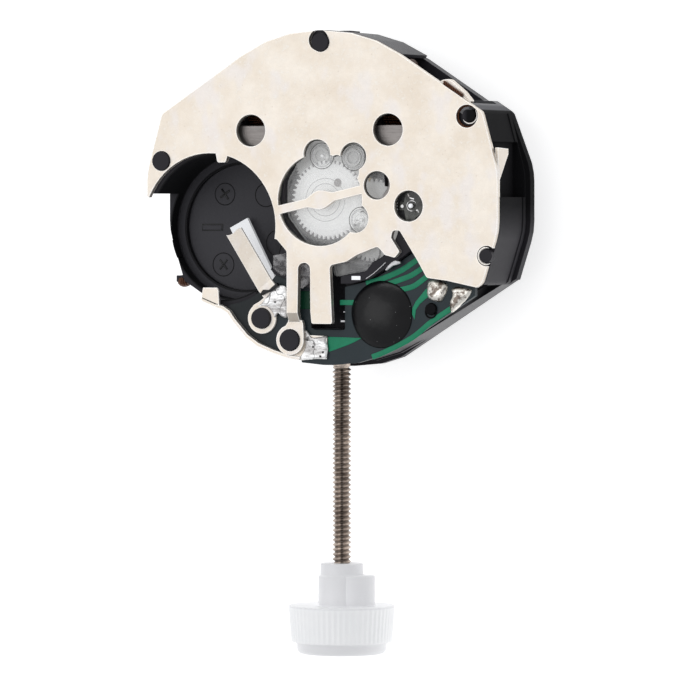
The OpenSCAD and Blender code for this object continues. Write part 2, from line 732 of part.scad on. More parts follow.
module centre_wheel() {
    phase = mesh(third_pin_n, 0, centre_n, angle_to(third_p, [0, 0]));
    color([0.8, 0.68, 0.4]) difference() {
        union() {
            wheel([0, 0], centre_n, 2 * third_d / (centre_n + third_pin_n), phase,
                  centre_z, wheel_t);
            peg([0, 0], 0.62, centre_z - 0.06, centre_z + wheel_t + 0.06);
        }
        peg([0, 0], cannon_r, 0, move_h);
    }
}

module cannon_pinion() {
    color([0.8, 0.68, 0.4]) difference() {
        union() {
            peg([0, 0], cannon_r, -cannon_out, centre_z + wheel_t + 0.12);
            wheel([0, 0], cannon_n, setting_m, 0, cannon_z, 0.36);
        }
        peg([0, 0], second_r + 0.05, -cannon_out - 1, move_h);
    }
}

minute_a = angle_to([0, 0], minute_p);
minute_phase = mesh(cannon_n, 0, minute_n, minute_a);
hour_m = 2 * minute_d / (hour_n + minute_pin_n);

module minute_wheel() {
    color([0.87, 0.87, 0.85]) difference() {
        union() {
            wheel(minute_p, minute_n, setting_m, minute_phase, minute_z, 0.14);
            wheel(minute_p, minute_pin_n, hour_m, 0, hour_z - 0.02, minute_z - hour_z + 0.02);
        }
        peg(minute_p, post_r + run, 0, move_h);
    }
}

module hour_wheel() {
    phase = mesh(minute_pin_n, 0, hour_n, angle_to(minute_p, [0, 0]));
    color([0.85, 0.75, 0.5]) difference() {
        union() {
            wheel([0, 0], hour_n, hour_m, phase, hour_z, 0.14);
            peg([0, 0], hour_r, -hour_out, hour_z + 0.14);
        }
        peg([0, 0], cannon_r + 0.05, -hour_out - 1, move_h);
    }
}

module setting_wheel() {
    phase = mesh(minute_n, minute_phase, setting_n, angle_to(minute_p, setting_p));
    color([0.87, 0.87, 0.85]) difference() {
        wheel(setting_p, setting_n, setting_m, phase, setting_z, setting_t);
        peg(setting_p, post_r + run, 0, move_h);
    }
}

module sliding_pinion() {
    teeth = 16;
    color([0.7, 0.7, 0.71]) difference() {
        bar(clutch_r, clutch_y0, clutch_y1);
        // Groove for the fork
        difference() {
            bar(1, clutch_y0 + 0.24, clutch_y0 + 0.5);
            bar(clutch_r - 0.18, clutch_y0, clutch_y1);
        }
        // Crown teeth that face the setting wheel
        for (i = [0:teeth - 1]) translate([0, clutch_y1 - 0.16, stem_z])
            rotate([0, 360 / teeth * i, 0]) translate([0.36, 0, -0.055])
                cube([0.4, 0.3, 0.11]);
        translate([-square / 2 - run, clutch_y0 - 1, stem_z - square / 2 - run])
            cube([square + 2 * run, 3, square + 2 * run]);
    }
}

module clutch_fork() {
    color([0.72, 0.72, 0.73]) {
        slab(rounded([[-1.45, -4.1, 0.1], [-0.2, -4.1, 0.1], [0.3, -3.72, 0.05],
                      [0.3, -3.54, 0.05], [-0.3, -3.5, 0.1], [-0.7, -3.2, 0.1],
                      [-1.45, -3.2, 0.1]]), lever_z, lever_z + lever_t);
        translate([-0.2, clutch_y0 + 0.28, lever_z + lever_t - eps])
            cube([0.4, 0.18, stem_z - clutch_r + 0.15 - lever_z - lever_t]);
    }
}

module setting_lever() {
    a = atan2(pin_y - pivot_y, -pivot_x);
    color([0.72, 0.72, 0.73]) difference() {
        union() {
            translate([pivot_x, pivot_y, 0]) rotate([0, 0, a])
                slab(rounded([[-0.4, -0.32, 0.25], [0.6, -0.25, 0.1], [lever_l + 0.2, -0.2, 0.15],
                              [lever_l + 0.2, 0.2, 0.15], [0.6, 0.25, 0.1], [-0.4, 0.4, 0.2]]),
                     lever_z, lever_z + lever_t);
            peg([0, pin_y], pin_r, lever_z, stem_z - groove_r - 0.04);
        }
        peg([pivot_x, pivot_y], post_r + run, 0, move_h);
    }
}

module setting_spring() {
    color([0.7, 0.7, 0.72]) slab(rounded([[0.42, -6.25, 0.03], [0.54, -6.25, 0.03],
        [0.54, -5.35, 0.1], [0.95, -5.3, 0.15], [1.35, -5.3, 0.2], [1.35, -4.75, 0.2],
        [0.7, -4.75, 0.2], [0.42, -5.1, 0.2]]), lever_z, web_z0 - 0.1);
}

module stem() {
    groove_y = pin_y - groove_w / 2;
    color([0.62, 0.55, 0.5]) {
        bar(thread_r, -knob_y - 0.1, -reach_stem - 0.15);
        bar(stem_r, -reach_stem - 0.16, groove_y);
        bar(groove_r, groove_y, groove_y + groove_w);
        bar(stem_r, groove_y + groove_w, -4.55);
        translate([-square / 2, -4.56, stem_z - square / 2]) cube([square, 2.11, square]);
        bar(0.14, -2.46, -2.2);
    }
}

module knob() {
    // Turned profile of the transport knob, along the stem from its collar
    disc_y = 2;
    end = disc_y + knob_l;
    taper = 0.14;
    color([0.95, 0.95, 0.95]) translate([0, -knob_y, stem_z]) rotate([90, 0, 0]) {
        difference() {
            union() {
                rotate_extrude($fn = 72)
                    polygon([[0, 0], [collar_r, 0], [collar_r, 0.55], [1.08, 0.6],
                             [1.08, disc_y - 0.1], [knob_r - 0.1, disc_y],
                             [knob_r, disc_y + 0.1], [knob_r - taper, end],
                             [knob_r - 0.39, end + 0.02], [knob_r - 0.39, end + 0.3],
                             [knob_r - 0.6, end + 0.58], [0, end + 0.58]]);
                translate([0.62, 0, 0.57]) cylinder(r = 0.88, h = disc_y - 0.5);
            }
            translate([0, 0, -eps]) cylinder(r = thread_r, h = 0.1 + eps);
        }
    }
}

module keeper_plate() {
    color([0.7, 0.7, 0.71]) difference() {
        slab(rounded(keeper_region), keeper_z, keeper_z + keeper_t);
        peg([0, 0], keeper_bore, 0, move_h);
        peg([pivot_x, pivot_y], 0.5, 0, move_h);
        for (p = keeper_holes) peg(p, 0.17, 0, move_h);
    }
}

module keeper_screws() {
    color([0.6, 0.6, 0.62]) for (p = keeper_holes) {
        peg(p, 0.34, keeper_z - 0.1, keeper_z);
        peg(p, 0.15, keeper_z - eps, 0.9);
    }
}

module negative_contact() {
    // Ring on the post, tail on the board and the blade that dips into the well
    t = 0.12;
    drop = 1.1;
    tip = 3.46;
    half = 0.42;
    color([0.9, 0.86, 0.8]) {
        difference() {
            union() {
                peg(contact_post, 0.72, board_top, board_top + t);
                slab(rounded([[-3.45, -5.2, 0.1], [-2.3, -5.3, 0.1], [-1.85, -5.2, 0.1],
                              [-1.85, -4.3, 0.1], [-2.3, -4, 0.1], [-2.6, -4.2, 0],
                              [-3.3, -4.75, 0], [-3.75, -5, 0.1]]), board_top, board_top + t);
            }
            peg(contact_post, contact_post[2] + run, 0, move_h);
        }
        // Blade along its own direction, its tip cut askew and hollowed
        translate([-3.05, -4, board_top]) rotate([0, 0, blade_a]) difference() {
            rotate([90, 0, 0]) translate([0, 0, -half]) linear_extrude(2 * half)
                polygon([[-0.5, 0], [0, 0], [tip, -drop], [tip, t - drop], [0.02, t],
                         [-0.5, t]]);
            slab([[tip, half + eps], [tip - 0.3, -half - eps], [tip + 1, -half - eps],
                  [tip + 1, half + eps]], -drop - 1, 1);
            peg([tip + 0.36, 0], 0.6, -drop - 1, 1);
        }
    }
}

module contact_insulator() {
    w = 1.02;
    color([0.96, 0.96, 0.97])
        translate([-3.66, -3.75, well_floor + well_step]) rotate([0, 0, 117.6])
            cube([3.26, w, 0.2]);
}

// Band of width w on the left of an open line
function band(c, w) = let (n = len(c), k = n - 1)
    concat(c, [for (i = [k:-1:0])
        let (d = unit(c[min(i + 1, k)] - c[max(i - 1, 0)])) c[i] + w * [-d.y, d.x]]);

module battery_clip() {
    // Spring on edge that follows the wall from the clip post to the hook over the cell
    t = ring_z - board_top;
    color([0.9, 0.86, 0.8]) difference() {
        union() {
            peg(clip_post, 0.71, board_top, ring_z);
            slab(rounded([[-1.9, -7.35, 0.1], [-1.2, -7.5, 0.1], [0.1, -7.35, 0.1],
                          [0.15, -6.35, 0.1], [-1.2, -6.3, 0.1], [-2, -6.9, 0.1]]),
                 board_top, ring_z);
            slab(band(clip_line, 0.15), board_top, ring_z + 0.15);
            slab(rounded([[-5.5, -5.07, 0], [-5.36, -4.98, 0.05], [-5.4, -4.3, 0.05],
                          [-5.47, -4.13, 0.05], [-6.2, -4.13, 0.05], [-6.3, -4.75, 0.05]]),
                 board_top + t, ring_z + t);
            slab([[-6.3, -4.75], [-5.5, -5.07], [-5.42, -4.95], [-6.26, -4.63]],
                 board_top - 0.3, ring_z + t);
        }
        peg(clip_post, clip_post[2] + run, 0, move_h);
    }
}

main_plate();
back_plate();
train_bridge();
circuit_board();
chip_blob();
solder_joints();
quartz_crystal();
coil_winding();
coil_core();
stator();
rotor_cap();
rotor_magnet();
rotor_pinion();
fifth_wheel();
seconds_wheel();
seconds_arbor();
third_wheel();
centre_wheel();
cannon_pinion();
minute_wheel();
hour_wheel();
setting_wheel();
sliding_pinion();
clutch_fork();
setting_lever();
setting_spring();
stem();
knob();
keeper_plate();
keeper_screws();
negative_contact();
contact_insulator();
battery_clip();
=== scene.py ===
import json
import math

import bmesh
import bpy
from mathutils import Matrix, Vector, noise


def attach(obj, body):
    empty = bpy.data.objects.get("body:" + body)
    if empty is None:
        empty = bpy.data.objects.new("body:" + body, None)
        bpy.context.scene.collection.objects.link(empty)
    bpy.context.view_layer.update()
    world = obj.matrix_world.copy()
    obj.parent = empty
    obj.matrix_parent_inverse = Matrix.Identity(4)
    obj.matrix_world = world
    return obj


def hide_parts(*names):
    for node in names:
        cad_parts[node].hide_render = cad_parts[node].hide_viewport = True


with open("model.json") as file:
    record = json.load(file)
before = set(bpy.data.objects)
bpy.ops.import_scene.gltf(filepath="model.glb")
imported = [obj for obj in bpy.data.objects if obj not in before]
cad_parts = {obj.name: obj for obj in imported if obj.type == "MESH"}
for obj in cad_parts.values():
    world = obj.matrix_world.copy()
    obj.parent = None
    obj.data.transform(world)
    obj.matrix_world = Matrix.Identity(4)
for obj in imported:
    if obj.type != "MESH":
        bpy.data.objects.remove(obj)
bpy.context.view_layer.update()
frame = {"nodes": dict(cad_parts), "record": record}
NODES = frame["nodes"]
MM = 0.001

# Places and levels of the CAD model that the dressed pieces sit on, in millimetres
SHEET_TOP, SHEET_UNDER = 3.9, 3.7
BOARD_TOP = 3.3
BRIDGE_TOP = 3.27
WHEEL_TOP = 2.96
STEM_Z = 1.4
KNOB_Y = -17.05
THREAD_CREST, THREAD_ROOT, THREAD_PITCH = 0.45, 0.335, 0.225
WELL, WELL_FLOOR = (-5.45, -1.3), 0.4
BOSSES = ((-0.143, 2.045), (1.48, 1.96), (1.853, -0.944))
PEEP_HOLES = (((-3.55, 3.24), 0.75), ((3.46, 3.25), 0.75), ((4.5, -0.29), 0.72), ((2.9, 0.67), 0.66))
CAP_POINT = (4.5, -0.28)
SCREWS = ((-1.95, -4.35), (2.8, 1.0), (1.6, -3.9))


# ---------------------------------------------------------------- shader helpers
class Sock:
    """A shader socket with arithmetic."""

    def __init__(self, tree, socket):
        self.tree, self.socket = tree, socket

    def math(self, operation, *others):
        n = self.tree.nodes.new("ShaderNodeMath")
        n.operation = operation
        for i, v in enumerate((self,) + others):
            feed(self.tree, n.inputs[i], v)
        return Sock(self.tree, n.outputs[0])

    def __add__(self, o):
        return self.math("ADD", o)

    def __sub__(self, o):
        return self.math("SUBTRACT", o)

    def __mul__(self, o):
        return self.math("MULTIPLY", o)

    __radd__ = __add__

    def __rsub__(self, o):
        return (self * -1.0) + o

    def above(self, edge, soft):
        """0 below edge, 1 above edge + soft."""
        n = self.tree.nodes.new("ShaderNodeMapRange")
        n.inputs["From Min"].default_value = edge
        n.inputs["From Max"].default_value = edge + soft
        feed(self.tree, n.inputs["Value"], self)
        return Sock(self.tree, n.outputs["Result"])


def feed(tree, socket, value):
    if isinstance(value, Sock):
        tree.links.new(value.socket, socket)
    elif isinstance(value, (tuple, list)) and len(value) == 3 and socket.type == "RGBA":
        socket.default_value = (*value, 1)
    else:
        socket.default_value = value


class Shader:
    """A material in the making: its nodes, and the object's own coordinates in millimetres."""

    def __init__(self, name):
        self.mat = bpy.data.materials.new(name)
        self.mat.use_nodes = True
        self.tree = self.mat.node_tree
        self.bsdf = self.tree.nodes["Principled BSDF"]
        place = self.node("ShaderNodeTexCoord", "Object")
        self.place = self.node("ShaderNodeVectorMath", 0, {"operation": "SCALE"}, Vector=place, Scale=1000.0)

    def node(self, kind, output, settings=None, **inputs):
        """A new node's output. inputs are values by the name of a socket; an unknown name means the first socket."""
        n = self.tree.nodes.new(kind)
        for k, v in (settings or {}).items():
            setattr(n, k, v)
        for k, v in inputs.items():
            key = k.replace("_", " ")
            feed(self.tree, n.inputs[key if key in n.inputs else 0], v)
        return Sock(self.tree, n.outputs[output])

    def stretched(self, x, y, z):
        return self.node("ShaderNodeMapping", "Vector", None, Vector=self.place, Scale=(x, y, z))

    def noise(self, scale, detail=3.0, rough=0.55, where=None):
        return self.node("ShaderNodeTexNoise", "Fac", None, Vector=where or self.place, Scale=scale,
                         Detail=detail, Roughness=rough)

    def cells(self, scale):
        return self.node("ShaderNodeTexVoronoi", "Distance", None, Vector=self.place, Scale=scale)

    def axis(self, letter):
        return self.node("ShaderNodeSeparateXYZ", letter, None, Vector=self.place)

    def mix(self, a, b, factor):
        n = self.tree.nodes.new("ShaderNodeMix")
        n.data_type = "RGBA"
        for socket, value in zip((n.inputs[6], n.inputs[7], n.inputs[0]), (a, b, factor)):
            feed(self.tree, socket, value)
        return Sock(self.tree, n.outputs[2])

    def bevel(self, radius):
        n = self.tree.nodes.new("ShaderNodeBevel")
        n.samples = 4
        n.inputs["Radius"].default_value = radius * MM
        return Sock(self.tree, n.outputs[0])

    # A mask of corners, used to paint a highlight along edges
    def painted_edge_highlight(self, radius):
        """1 on corners no further than radius from an edge, 0 on flat faces."""
        round_normal = self.bevel(radius)
        flat = self.node("ShaderNodeNewGeometry", "True Normal")
        dot = self.node("ShaderNodeVectorMath", "Value", {"operation": "DOT_PRODUCT"}, Vector=flat)
        feed(self.tree, dot.socket.node.inputs[1], round_normal)
        return (1 - dot).above(0.015, 0.12)

    def build(self, color, rough, metal=0.0, height=None, depth=0.01, edge=0.0, **constants):
        """Sets the finish. height is a bump field, depth its height, edge the soft edge's radius, in millimetres."""
        feed(self.tree, self.bsdf.inputs["Base Color"], color)
        feed(self.tree, self.bsdf.inputs["Roughness"], rough)
        feed(self.tree, self.bsdf.inputs["Metallic"], metal)
        normal = self.bevel(edge) if edge else None
        if height is not None:
            n = self.tree.nodes.new("ShaderNodeBump")
            n.inputs["Distance"].default_value = depth * MM
            feed(self.tree, n.inputs["Height"], height)
            if normal:
                feed(self.tree, n.inputs["Normal"], normal)
            normal = Sock(self.tree, n.outputs[0])
        if normal:
            feed(self.tree, self.bsdf.inputs["Normal"], normal)
        for k, v in constants.items():
            feed(self.tree, self.bsdf.inputs[k.replace("_", " ")], v)
        return self.mat


# ---------------------------------------------------------------- finishes
def nickel_sheet(name, metal=0.78, glow=0.0):
    """Plated sheet, clouded and spotted, with a painted highlight along its edges, which also glow. With glow, the
    whole of it glows lighter: painted light.
    """
    s = Shader(name)
    cloud = s.noise(0.55, 4, 0.6)
    fine = s.noise(5.0, 5, 0.65)
    lilac = s.noise(0.9, 2, 0.5, s.stretched(1, 0.6, 1)).above(0.55, 0.12)
    warm = s.mix((0.665, 0.592, 0.505), (0.755, 0.695, 0.62), cloud.above(0.35, 0.3))
    color = s.mix(warm, (0.70, 0.665, 0.655), lilac * 0.6)
    color = s.mix(color, (0.80, 0.78, 0.74), fine.above(0.56, 0.12) * 0.5)
    spots = s.cells(2.4).above(0.06, 0.05)
    color = s.mix((0.5, 0.42, 0.36), color, spots * 0.35 + 0.65)
    # Painted highlight: the edges are painted near white and made to glow
    edge = s.painted_edge_highlight(0.08)
    color = s.mix(color, (0.98, 0.98, 0.97), edge * 0.9)
    grain = fine * 0.6 + s.noise(26.0, 2, 0.5) * 0.4 + cloud * 1.2
    return s.build(color, 0.25 + fine * 0.2 + cloud * 0.08, metal, grain, 0.012, 0.035, Specular_IOR_Level=0.5,
                   Emission_Color=s.mix(color if glow else (0, 0, 0), (1, 1, 1), edge),
                   Emission_Strength=glow or 0.2)


def black_plastic():
    s = Shader("black_plastic")
    cloud = s.noise(0.7, 3, 0.5)
    grain = s.noise(16.0, 4, 0.6)
    dust = s.cells(3.1).above(0.045, 0.02)
    color = s.mix((0.06, 0.06, 0.065), s.mix((0.024, 0.023, 0.027), (0.036, 0.034, 0.040), cloud), dust * 0.5 + 0.5)
    x, y, z = s.axis("X"), s.axis("Y"), s.axis("Z")
    dial_face = 0.02
    upper = z.above(dial_face, 0.02)

    # The well, by the square of the distance from its axis: painted light on its floor, painted shade at the corner
    # where its step begins, and painted shade on its wall
    floor_edge, step_from, step_to, wall_edge = 11.6, 8.85, 9.5, 12.1
    dx, dy = x - WELL[0], y - WELL[1]
    away = dx * dx + dy * dy
    low = 1 - z.above(0.75, 0.1)
    floor_light = (1 - away.above(floor_edge, 0.3)) * upper * low
    step_shade = away.above(step_from, 0.1) * (1 - away.above(step_to, 0.2)) * low * upper
    wall_shade = (1 - away.above(wall_edge, 0.1)) * (1 - low)
    color = s.mix(color, (0.066, 0.065, 0.073), floor_light)
    color = s.mix(color, (0.009, 0.009, 0.010), (step_shade * 0.85).math("MAXIMUM", wall_shade))

    # Painted shade on the right wall; on the lower right flank painted light, with painted shade on its upper band; and
    # painted light on the shoulder at the upper right
    shade = x.above(7.3, 0.2) * y.above(-1.8, 1.6) * (1 - y.above(4.3, 0.1)) * upper
    flank = x.above(3.2, 1.2) * (1 - y.above(-3.95, 0.03)) * upper
    band_shade = (x * 0.245 + z).above(3.18, 0.06)
    color = s.mix(color, (0.15, 0.148, 0.152), flank * (1 - band_shade))
    shade = shade.math("MAXIMUM", flank * band_shade)
    color = s.mix(color, (0.008, 0.008, 0.009), shade)
    shoulder = x.above(6.3, 0.2) * y.above(4.12, 0.05) * (1 - y.above(4.62, 0.05)) * upper
    color = s.mix(color, (0.12, 0.12, 0.128), shoulder)
    return s.build(color, 0.24 + grain * 0.22 + cloud * 0.06 + shade * 0.45, 0.0, grain + cloud * 0.8, 0.008, 0.045,
                   Specular_IOR_Level=0.08)


def clear_plastic():
    s = Shader("clear_plastic")
    cloud = s.noise(1.1, 3, 0.5)
    facing = s.node("ShaderNodeLayerWeight", "Facing", None, Blend=0.35)
    color = s.mix((0.86, 0.87, 0.88), (0.95, 0.95, 0.95), cloud)
    # Painted shade: darker where the surface turns away from the camera
    color = s.mix(color, (0.30, 0.31, 0.32), facing.above(0.3, 0.4) * 0.5)
    alpha = 0.16 + facing * 0.5 + cloud * 0.12
    return s.build(color, 0.06 + cloud * 0.1, 0.0, s.noise(3.0, 2, 0.5), 0.015, 0.05, Alpha=alpha,
                   Specular_IOR_Level=0.8)


def clear_film():
    s = Shader("clear_film")
    cloud = s.noise(2.4, 4, 0.6)
    color = s.mix((0.10, 0.095, 0.10), (0.42, 0.41, 0.42), cloud.above(0.42, 0.2))
    return s.build(color, 0.12 + cloud * 0.1, 0.0, cloud, 0.06, 0.04, Alpha=0.35 + cloud * 0.4, Specular_IOR_Level=0.6)


def white_gear():
    s = Shader("white_gear")
    cloud = s.noise(2.2, 3, 0.5)
    color = s.mix((0.88, 0.885, 0.88), (0.96, 0.96, 0.95), cloud)
    # Painted shade: wheels below z 2.6, under the others, are darker. The emission is painted light.
    color = s.mix((0.66, 0.66, 0.65), color, s.axis("Z").above(2.6, 0.1))
    return s.build(color, 0.3 + cloud * 0.15, 0.0, s.noise(9.0, 3, 0.5), 0.01, 0.02,
                   Emission_Color=color, Emission_Strength=0.30)


def board_slate():
    s = Shader("board_slate")
    weave = s.noise(9.0, 2, 0.5, s.stretched(1, 5, 1)) * s.noise(9.0, 2, 0.5, s.stretched(5, 1, 1))
    cloud = s.noise(0.8, 3, 0.55)
    color = s.mix(s.mix((0.010, 0.016, 0.022), (0.024, 0.034, 0.044), cloud), (0.016, 0.04, 0.04), weave * 0.8)
    # Painted shade: darker towards the left, below x -2
    color = s.mix((0.006, 0.010, 0.012), color, s.axis("X").above(-3.4, 1.4))
    return s.build(color, 0.4 + weave * 0.3, 0.0, weave, 0.01, 0.02, Specular_IOR_Level=0.3)


def green_track():
    s = Shader("green_track")
    cloud = s.noise(1.5, 3, 0.55)
    color = s.mix((0.009, 0.185, 0.09), (0.022, 0.30, 0.16), cloud)
    # Painted shade: the track between the arms, left of x -0.5, is darker
    color = s.mix((0.003, 0.05, 0.024), color, s.axis("X").above(-0.5, 0.05))
    return s.build(color, 0.36 + cloud * 0.15, 0.0, s.noise(12.0, 3, 0.5), 0.008, 0.02, Specular_IOR_Level=0.2)


def epoxy_black():
    s = Shader("epoxy_black")
    cloud = s.noise(1.3, 3, 0.5)
    specks = s.cells(3.4).above(0.055, 0.02)
    color = s.mix((0.6, 0.6, 0.6), s.mix((0.002, 0.002, 0.003), (0.006, 0.006, 0.007), cloud), specks * 0.4 + 0.6)
    return s.build(color, 0.24 + cloud * 0.12, 0.0, s.noise(1.2, 2, 0.5) + s.noise(14.0, 2, 0.5) * 0.1, 0.03, 0.0,
                   Specular_IOR_Level=0.3)


# Dark smoked plastic; also the finish of painted shade lines and rims
def smoky():
    s = Shader("smoky")
    cloud = s.noise(1.8, 4, 0.6)
    color = s.mix((0.012, 0.013, 0.011), (0.13, 0.135, 0.12), cloud.above(0.45, 0.25))
    return s.build(color, 0.16 + cloud * 0.2, 0.0, cloud, 0.09, 0.03, Specular_IOR_Level=0.5)


def solder():
    s = Shader("solder")
    flow = s.noise(1.5, 2, 0.5)
    pits = s.noise(2.6, 3, 0.6)
    color = s.mix((0.20, 0.165, 0.14), (0.92, 0.89, 0.82), pits.above(0.41, 0.12))
    color = s.mix((0.10, 0.08, 0.07), color, s.cells(3.4).above(0.08, 0.08))
    return s.build(color, 0.24 + flow * 0.2, 0.85, flow + pits * 0.35, 0.11, 0.0)


def tinned():
    s = Shader("tinned")
    streak = s.noise(1.6, 4, 0.6, s.stretched(0.7, 2.2, 1))
    cloud = s.noise(1.1, 3, 0.55)
    shade_lines = s.noise(0.9, 2, 0.5).math("SUBTRACT", 0.5).math("ABSOLUTE").above(0.004, 0.012)
    color = s.mix((0.40, 0.385, 0.38), (0.93, 0.93, 0.93), streak.above(0.40, 0.2))
    # Painted shade: dark spots and thin dark lines over the tin
    color = s.mix((0.02, 0.018, 0.018), color, s.cells(2.2).above(0.10, 0.05) * (shade_lines * 0.7 + 0.3))
    # The emission is painted light
    return s.build(color, 0.24 + cloud * 0.2, 0.7, streak * 0.6 + cloud, 0.16, 0.0, Emission_Color=color,
                   Emission_Strength=0.1)


def brushed(name, dark, light, direction, rough):
    """Metal with fine lines along x or y, or with an even grain."""
    s = Shader(name)
    stretch = {"x": (0.25, 14, 14), "y": (14, 0.25, 14), "round": (6, 6, 6)}[direction]
    lines = s.noise(3.0, 4, 0.6, s.stretched(*stretch))
    cloud = s.noise(0.9, 3, 0.5)
    return s.build(s.mix(dark, light, lines * 0.7 + cloud * 0.3), rough + lines * 0.18, 0.85, lines, 0.012, 0.02)


def copper_wire():
    s = Shader("copper_wire")
    wire = 0.09
    turns = (s.axis("X") * (2 * math.pi / wire)).math("SINE")
    cloud = s.noise(1.4, 3, 0.5)
    color = s.mix((0.05, 0.018, 0.01), (0.26, 0.10, 0.045), turns * 0.3 + cloud * 0.6 + 0.1)
    return s.build(color, 0.3 + cloud * 0.2, 0.45, turns, 0.02, 0.0)


def magnet_black():
    s = Shader("magnet_black")
    grain = s.noise(14.0, 4, 0.6)
    return s.build(s.mix((0.03, 0.03, 0.033), (0.09, 0.09, 0.095), grain), 0.45 + grain * 0.2, 0.4, grain, 0.012, 0.02)


def stem_steel():
    s = Shader("stem_steel")
    cloud = s.noise(1.2, 4, 0.6)
    fine = s.noise(10.0, 3, 0.55)
    color = s.mix((0.19, 0.145, 0.12), (0.80, 0.69, 0.60), cloud.above(0.35, 0.3) * 0.5 + fine * 0.5)
    x, up = s.axis("X"), s.axis("Z") - STEM_Z
    thread = 1 - s.axis("Y").above(-7.9, 0.02)
    # Painted shade in the thread's grooves, and a painted dark reflection along the stem's middle as the camera sees it
    groove_shade = 1 - (x * x + up * up).math("SQRT").above(THREAD_ROOT, 0.05)
    lean_x, lean_up = 0.91, 0.415
    line = 1 - (x * lean_x - up * lean_up).math("ABSOLUTE").above(0.03, 0.07)
    color = s.mix(color, (0.035, 0.025, 0.02), (groove_shade * 0.75).math("MAXIMUM", line * 0.75) * thread)
    return s.build(color, 0.26 + fine * 0.22, 0.9, fine, 0.012, 0.0)


def knob_white():
    s = Shader("knob_white")
    cloud = s.noise(0.8, 3, 0.5)
    fine = s.noise(14.0, 3, 0.5)
    color = s.mix((0.90, 0.91, 0.92), (0.96, 0.96, 0.965), cloud)
    y = s.axis("Y")
    disc_start, disc_rounded, disc_end = -19.0, -19.12, -20.74
    # Painted shade on the boss beside the disc
    color = s.mix(color, (0.76, 0.76, 0.775), y.above(disc_start, 0.02))
    # Painted shade on the disc's rounded edge and its end
    rim = (y.above(disc_rounded, 0.04) * (1 - y.above(disc_start, 0.01))).math("MAXIMUM", 1 - y.above(disc_end, 0.04))
    color = s.mix(color, (0.82, 0.82, 0.835), rim * 0.9)
    # The emission is painted light
    return s.build(color, 0.34 + fine * 0.15, 0.0, fine + cloud, 0.008, 0.012,
                   Emission_Color=color, Emission_Strength=0.06)


def film_white():
    s = Shader("film_white")
    cloud = s.noise(1.3, 3, 0.5)
    color = s.mix((0.88, 0.90, 0.93), (0.95, 0.96, 0.98), cloud)
    # The emission is painted light
    return s.build(color, 0.35 + cloud * 0.2, 0.0, cloud, 0.01, 0.02, Emission_Color=color, Emission_Strength=0.28)


def brass():
    s = Shader("brass")
    fine = s.noise(9.0, 3, 0.55)
    return s.build(s.mix((0.55, 0.38, 0.15), (0.82, 0.62, 0.3), fine), 0.22 + fine * 0.2, 0.9, fine, 0.01, 0.02)


FINISH = {
    # contact_sheet glows all over: painted light
    "nickel_sheet": nickel_sheet("nickel_sheet"), "contact_sheet": nickel_sheet("contact_sheet", 0.4, 0.2),
    "black_plastic": black_plastic(), "clear_plastic": clear_plastic(), "clear_film": clear_film(),
    "white_gear": white_gear(), "board_slate": board_slate(), "green_track": green_track(),
    "epoxy_black": epoxy_black(), "solder": solder(), "tinned": tinned(), "copper_wire": copper_wire(),
    "magnet_black": magnet_black(), "stem_steel": stem_steel(), "knob_white": knob_white(),
    "film_white": film_white(), "brass": brass(), "smoky": smoky(),
    "soft_iron": brushed("soft_iron", (0.09, 0.08, 0.076), (0.44, 0.41, 0.395), "x", 0.3),
    "steel": brushed("steel", (0.36, 0.36, 0.37), (0.66, 0.66, 0.67), "y", 0.24),
    "nickel_can": brushed("nickel_can", (0.5, 0.5, 0.5), (0.75, 0.75, 0.76), "round", 0.28),
}
SLOT_OF = {p["node"]: p["material_slot"] for p in frame["record"]["subparts"]}
SPECIAL = {"negative_contact": "contact_sheet", "rotor_cap": "smoky"}


def dress(obj, finish):
    obj.data.materials.clear()
    obj.data.materials.append(FINISH[finish])


for name, obj in NODES.items():
    dress(obj, SPECIAL.get(name, SLOT_OF[name]))


# ---------------------------------------------------------------- mesh helpers, in millimetres
def piece(name, verts, faces, body, slot, finish=None, smooth=40, replaces=()):
    mesh = bpy.data.meshes.new(name)
    mesh.from_pydata([[c * MM for c in v] for v in verts], [], faces)
    work = bmesh.new()
    work.from_mesh(mesh)
    bmesh.ops.remove_doubles(work, verts=work.verts, dist=1e-8)
    bmesh.ops.recalc_face_normals(work, faces=work.faces)
    work.to_mesh(mesh)
    work.free()
    mesh.shade_smooth()
    mesh.set_sharp_from_angle(angle=math.radians(smooth))
    obj = bpy.data.objects.new(name, mesh)
    bpy.context.scene.collection.objects.link(obj)
    dress(obj, finish or slot)
    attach(obj, body)
    if replaces:
        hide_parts(*replaces)


def loops(rings, caps=True):
    """Verts and faces of a skin over closed rings of the same count, with or without caps on its two ends."""
    n = len(rings[0])
    verts = [v for r in rings for v in r]
    faces = [(i * n + j, i * n + (j + 1) % n, (i + 1) * n + (j + 1) % n, (i + 1) * n + j)
             for i in range(len(rings) - 1) for j in range(n)]
    if caps:
        faces += [tuple(range(n)), tuple(range((len(rings) - 1) * n, len(rings) * n))]
    return verts, faces


def join(*parts):
    verts, faces = [], []
    for v, f in parts:
        k = len(verts)
        verts += list(v)
        faces += [tuple(i + k for i in x) for x in f]
    return verts, faces


def lathe(profile, centre, axis="z", n=48, shape=None):
    """A turned body along z or y. profile is (radius, height) from one end to the other.

    shape(angle, radius, height) changes the radius.
    """
    rings = []
    for r, h in profile:
        ring = []
        for j in range(n):
            a = 2 * math.pi * j / n
            q = shape(a, r, h) if shape else r
            x, y = q * math.cos(a), q * math.sin(a)
            ring.append((centre[0] + x, centre[1] + y, h) if axis == "z" else (centre[0] + x, h, centre[1] + y))
        rings.append(ring)
    return loops(rings)


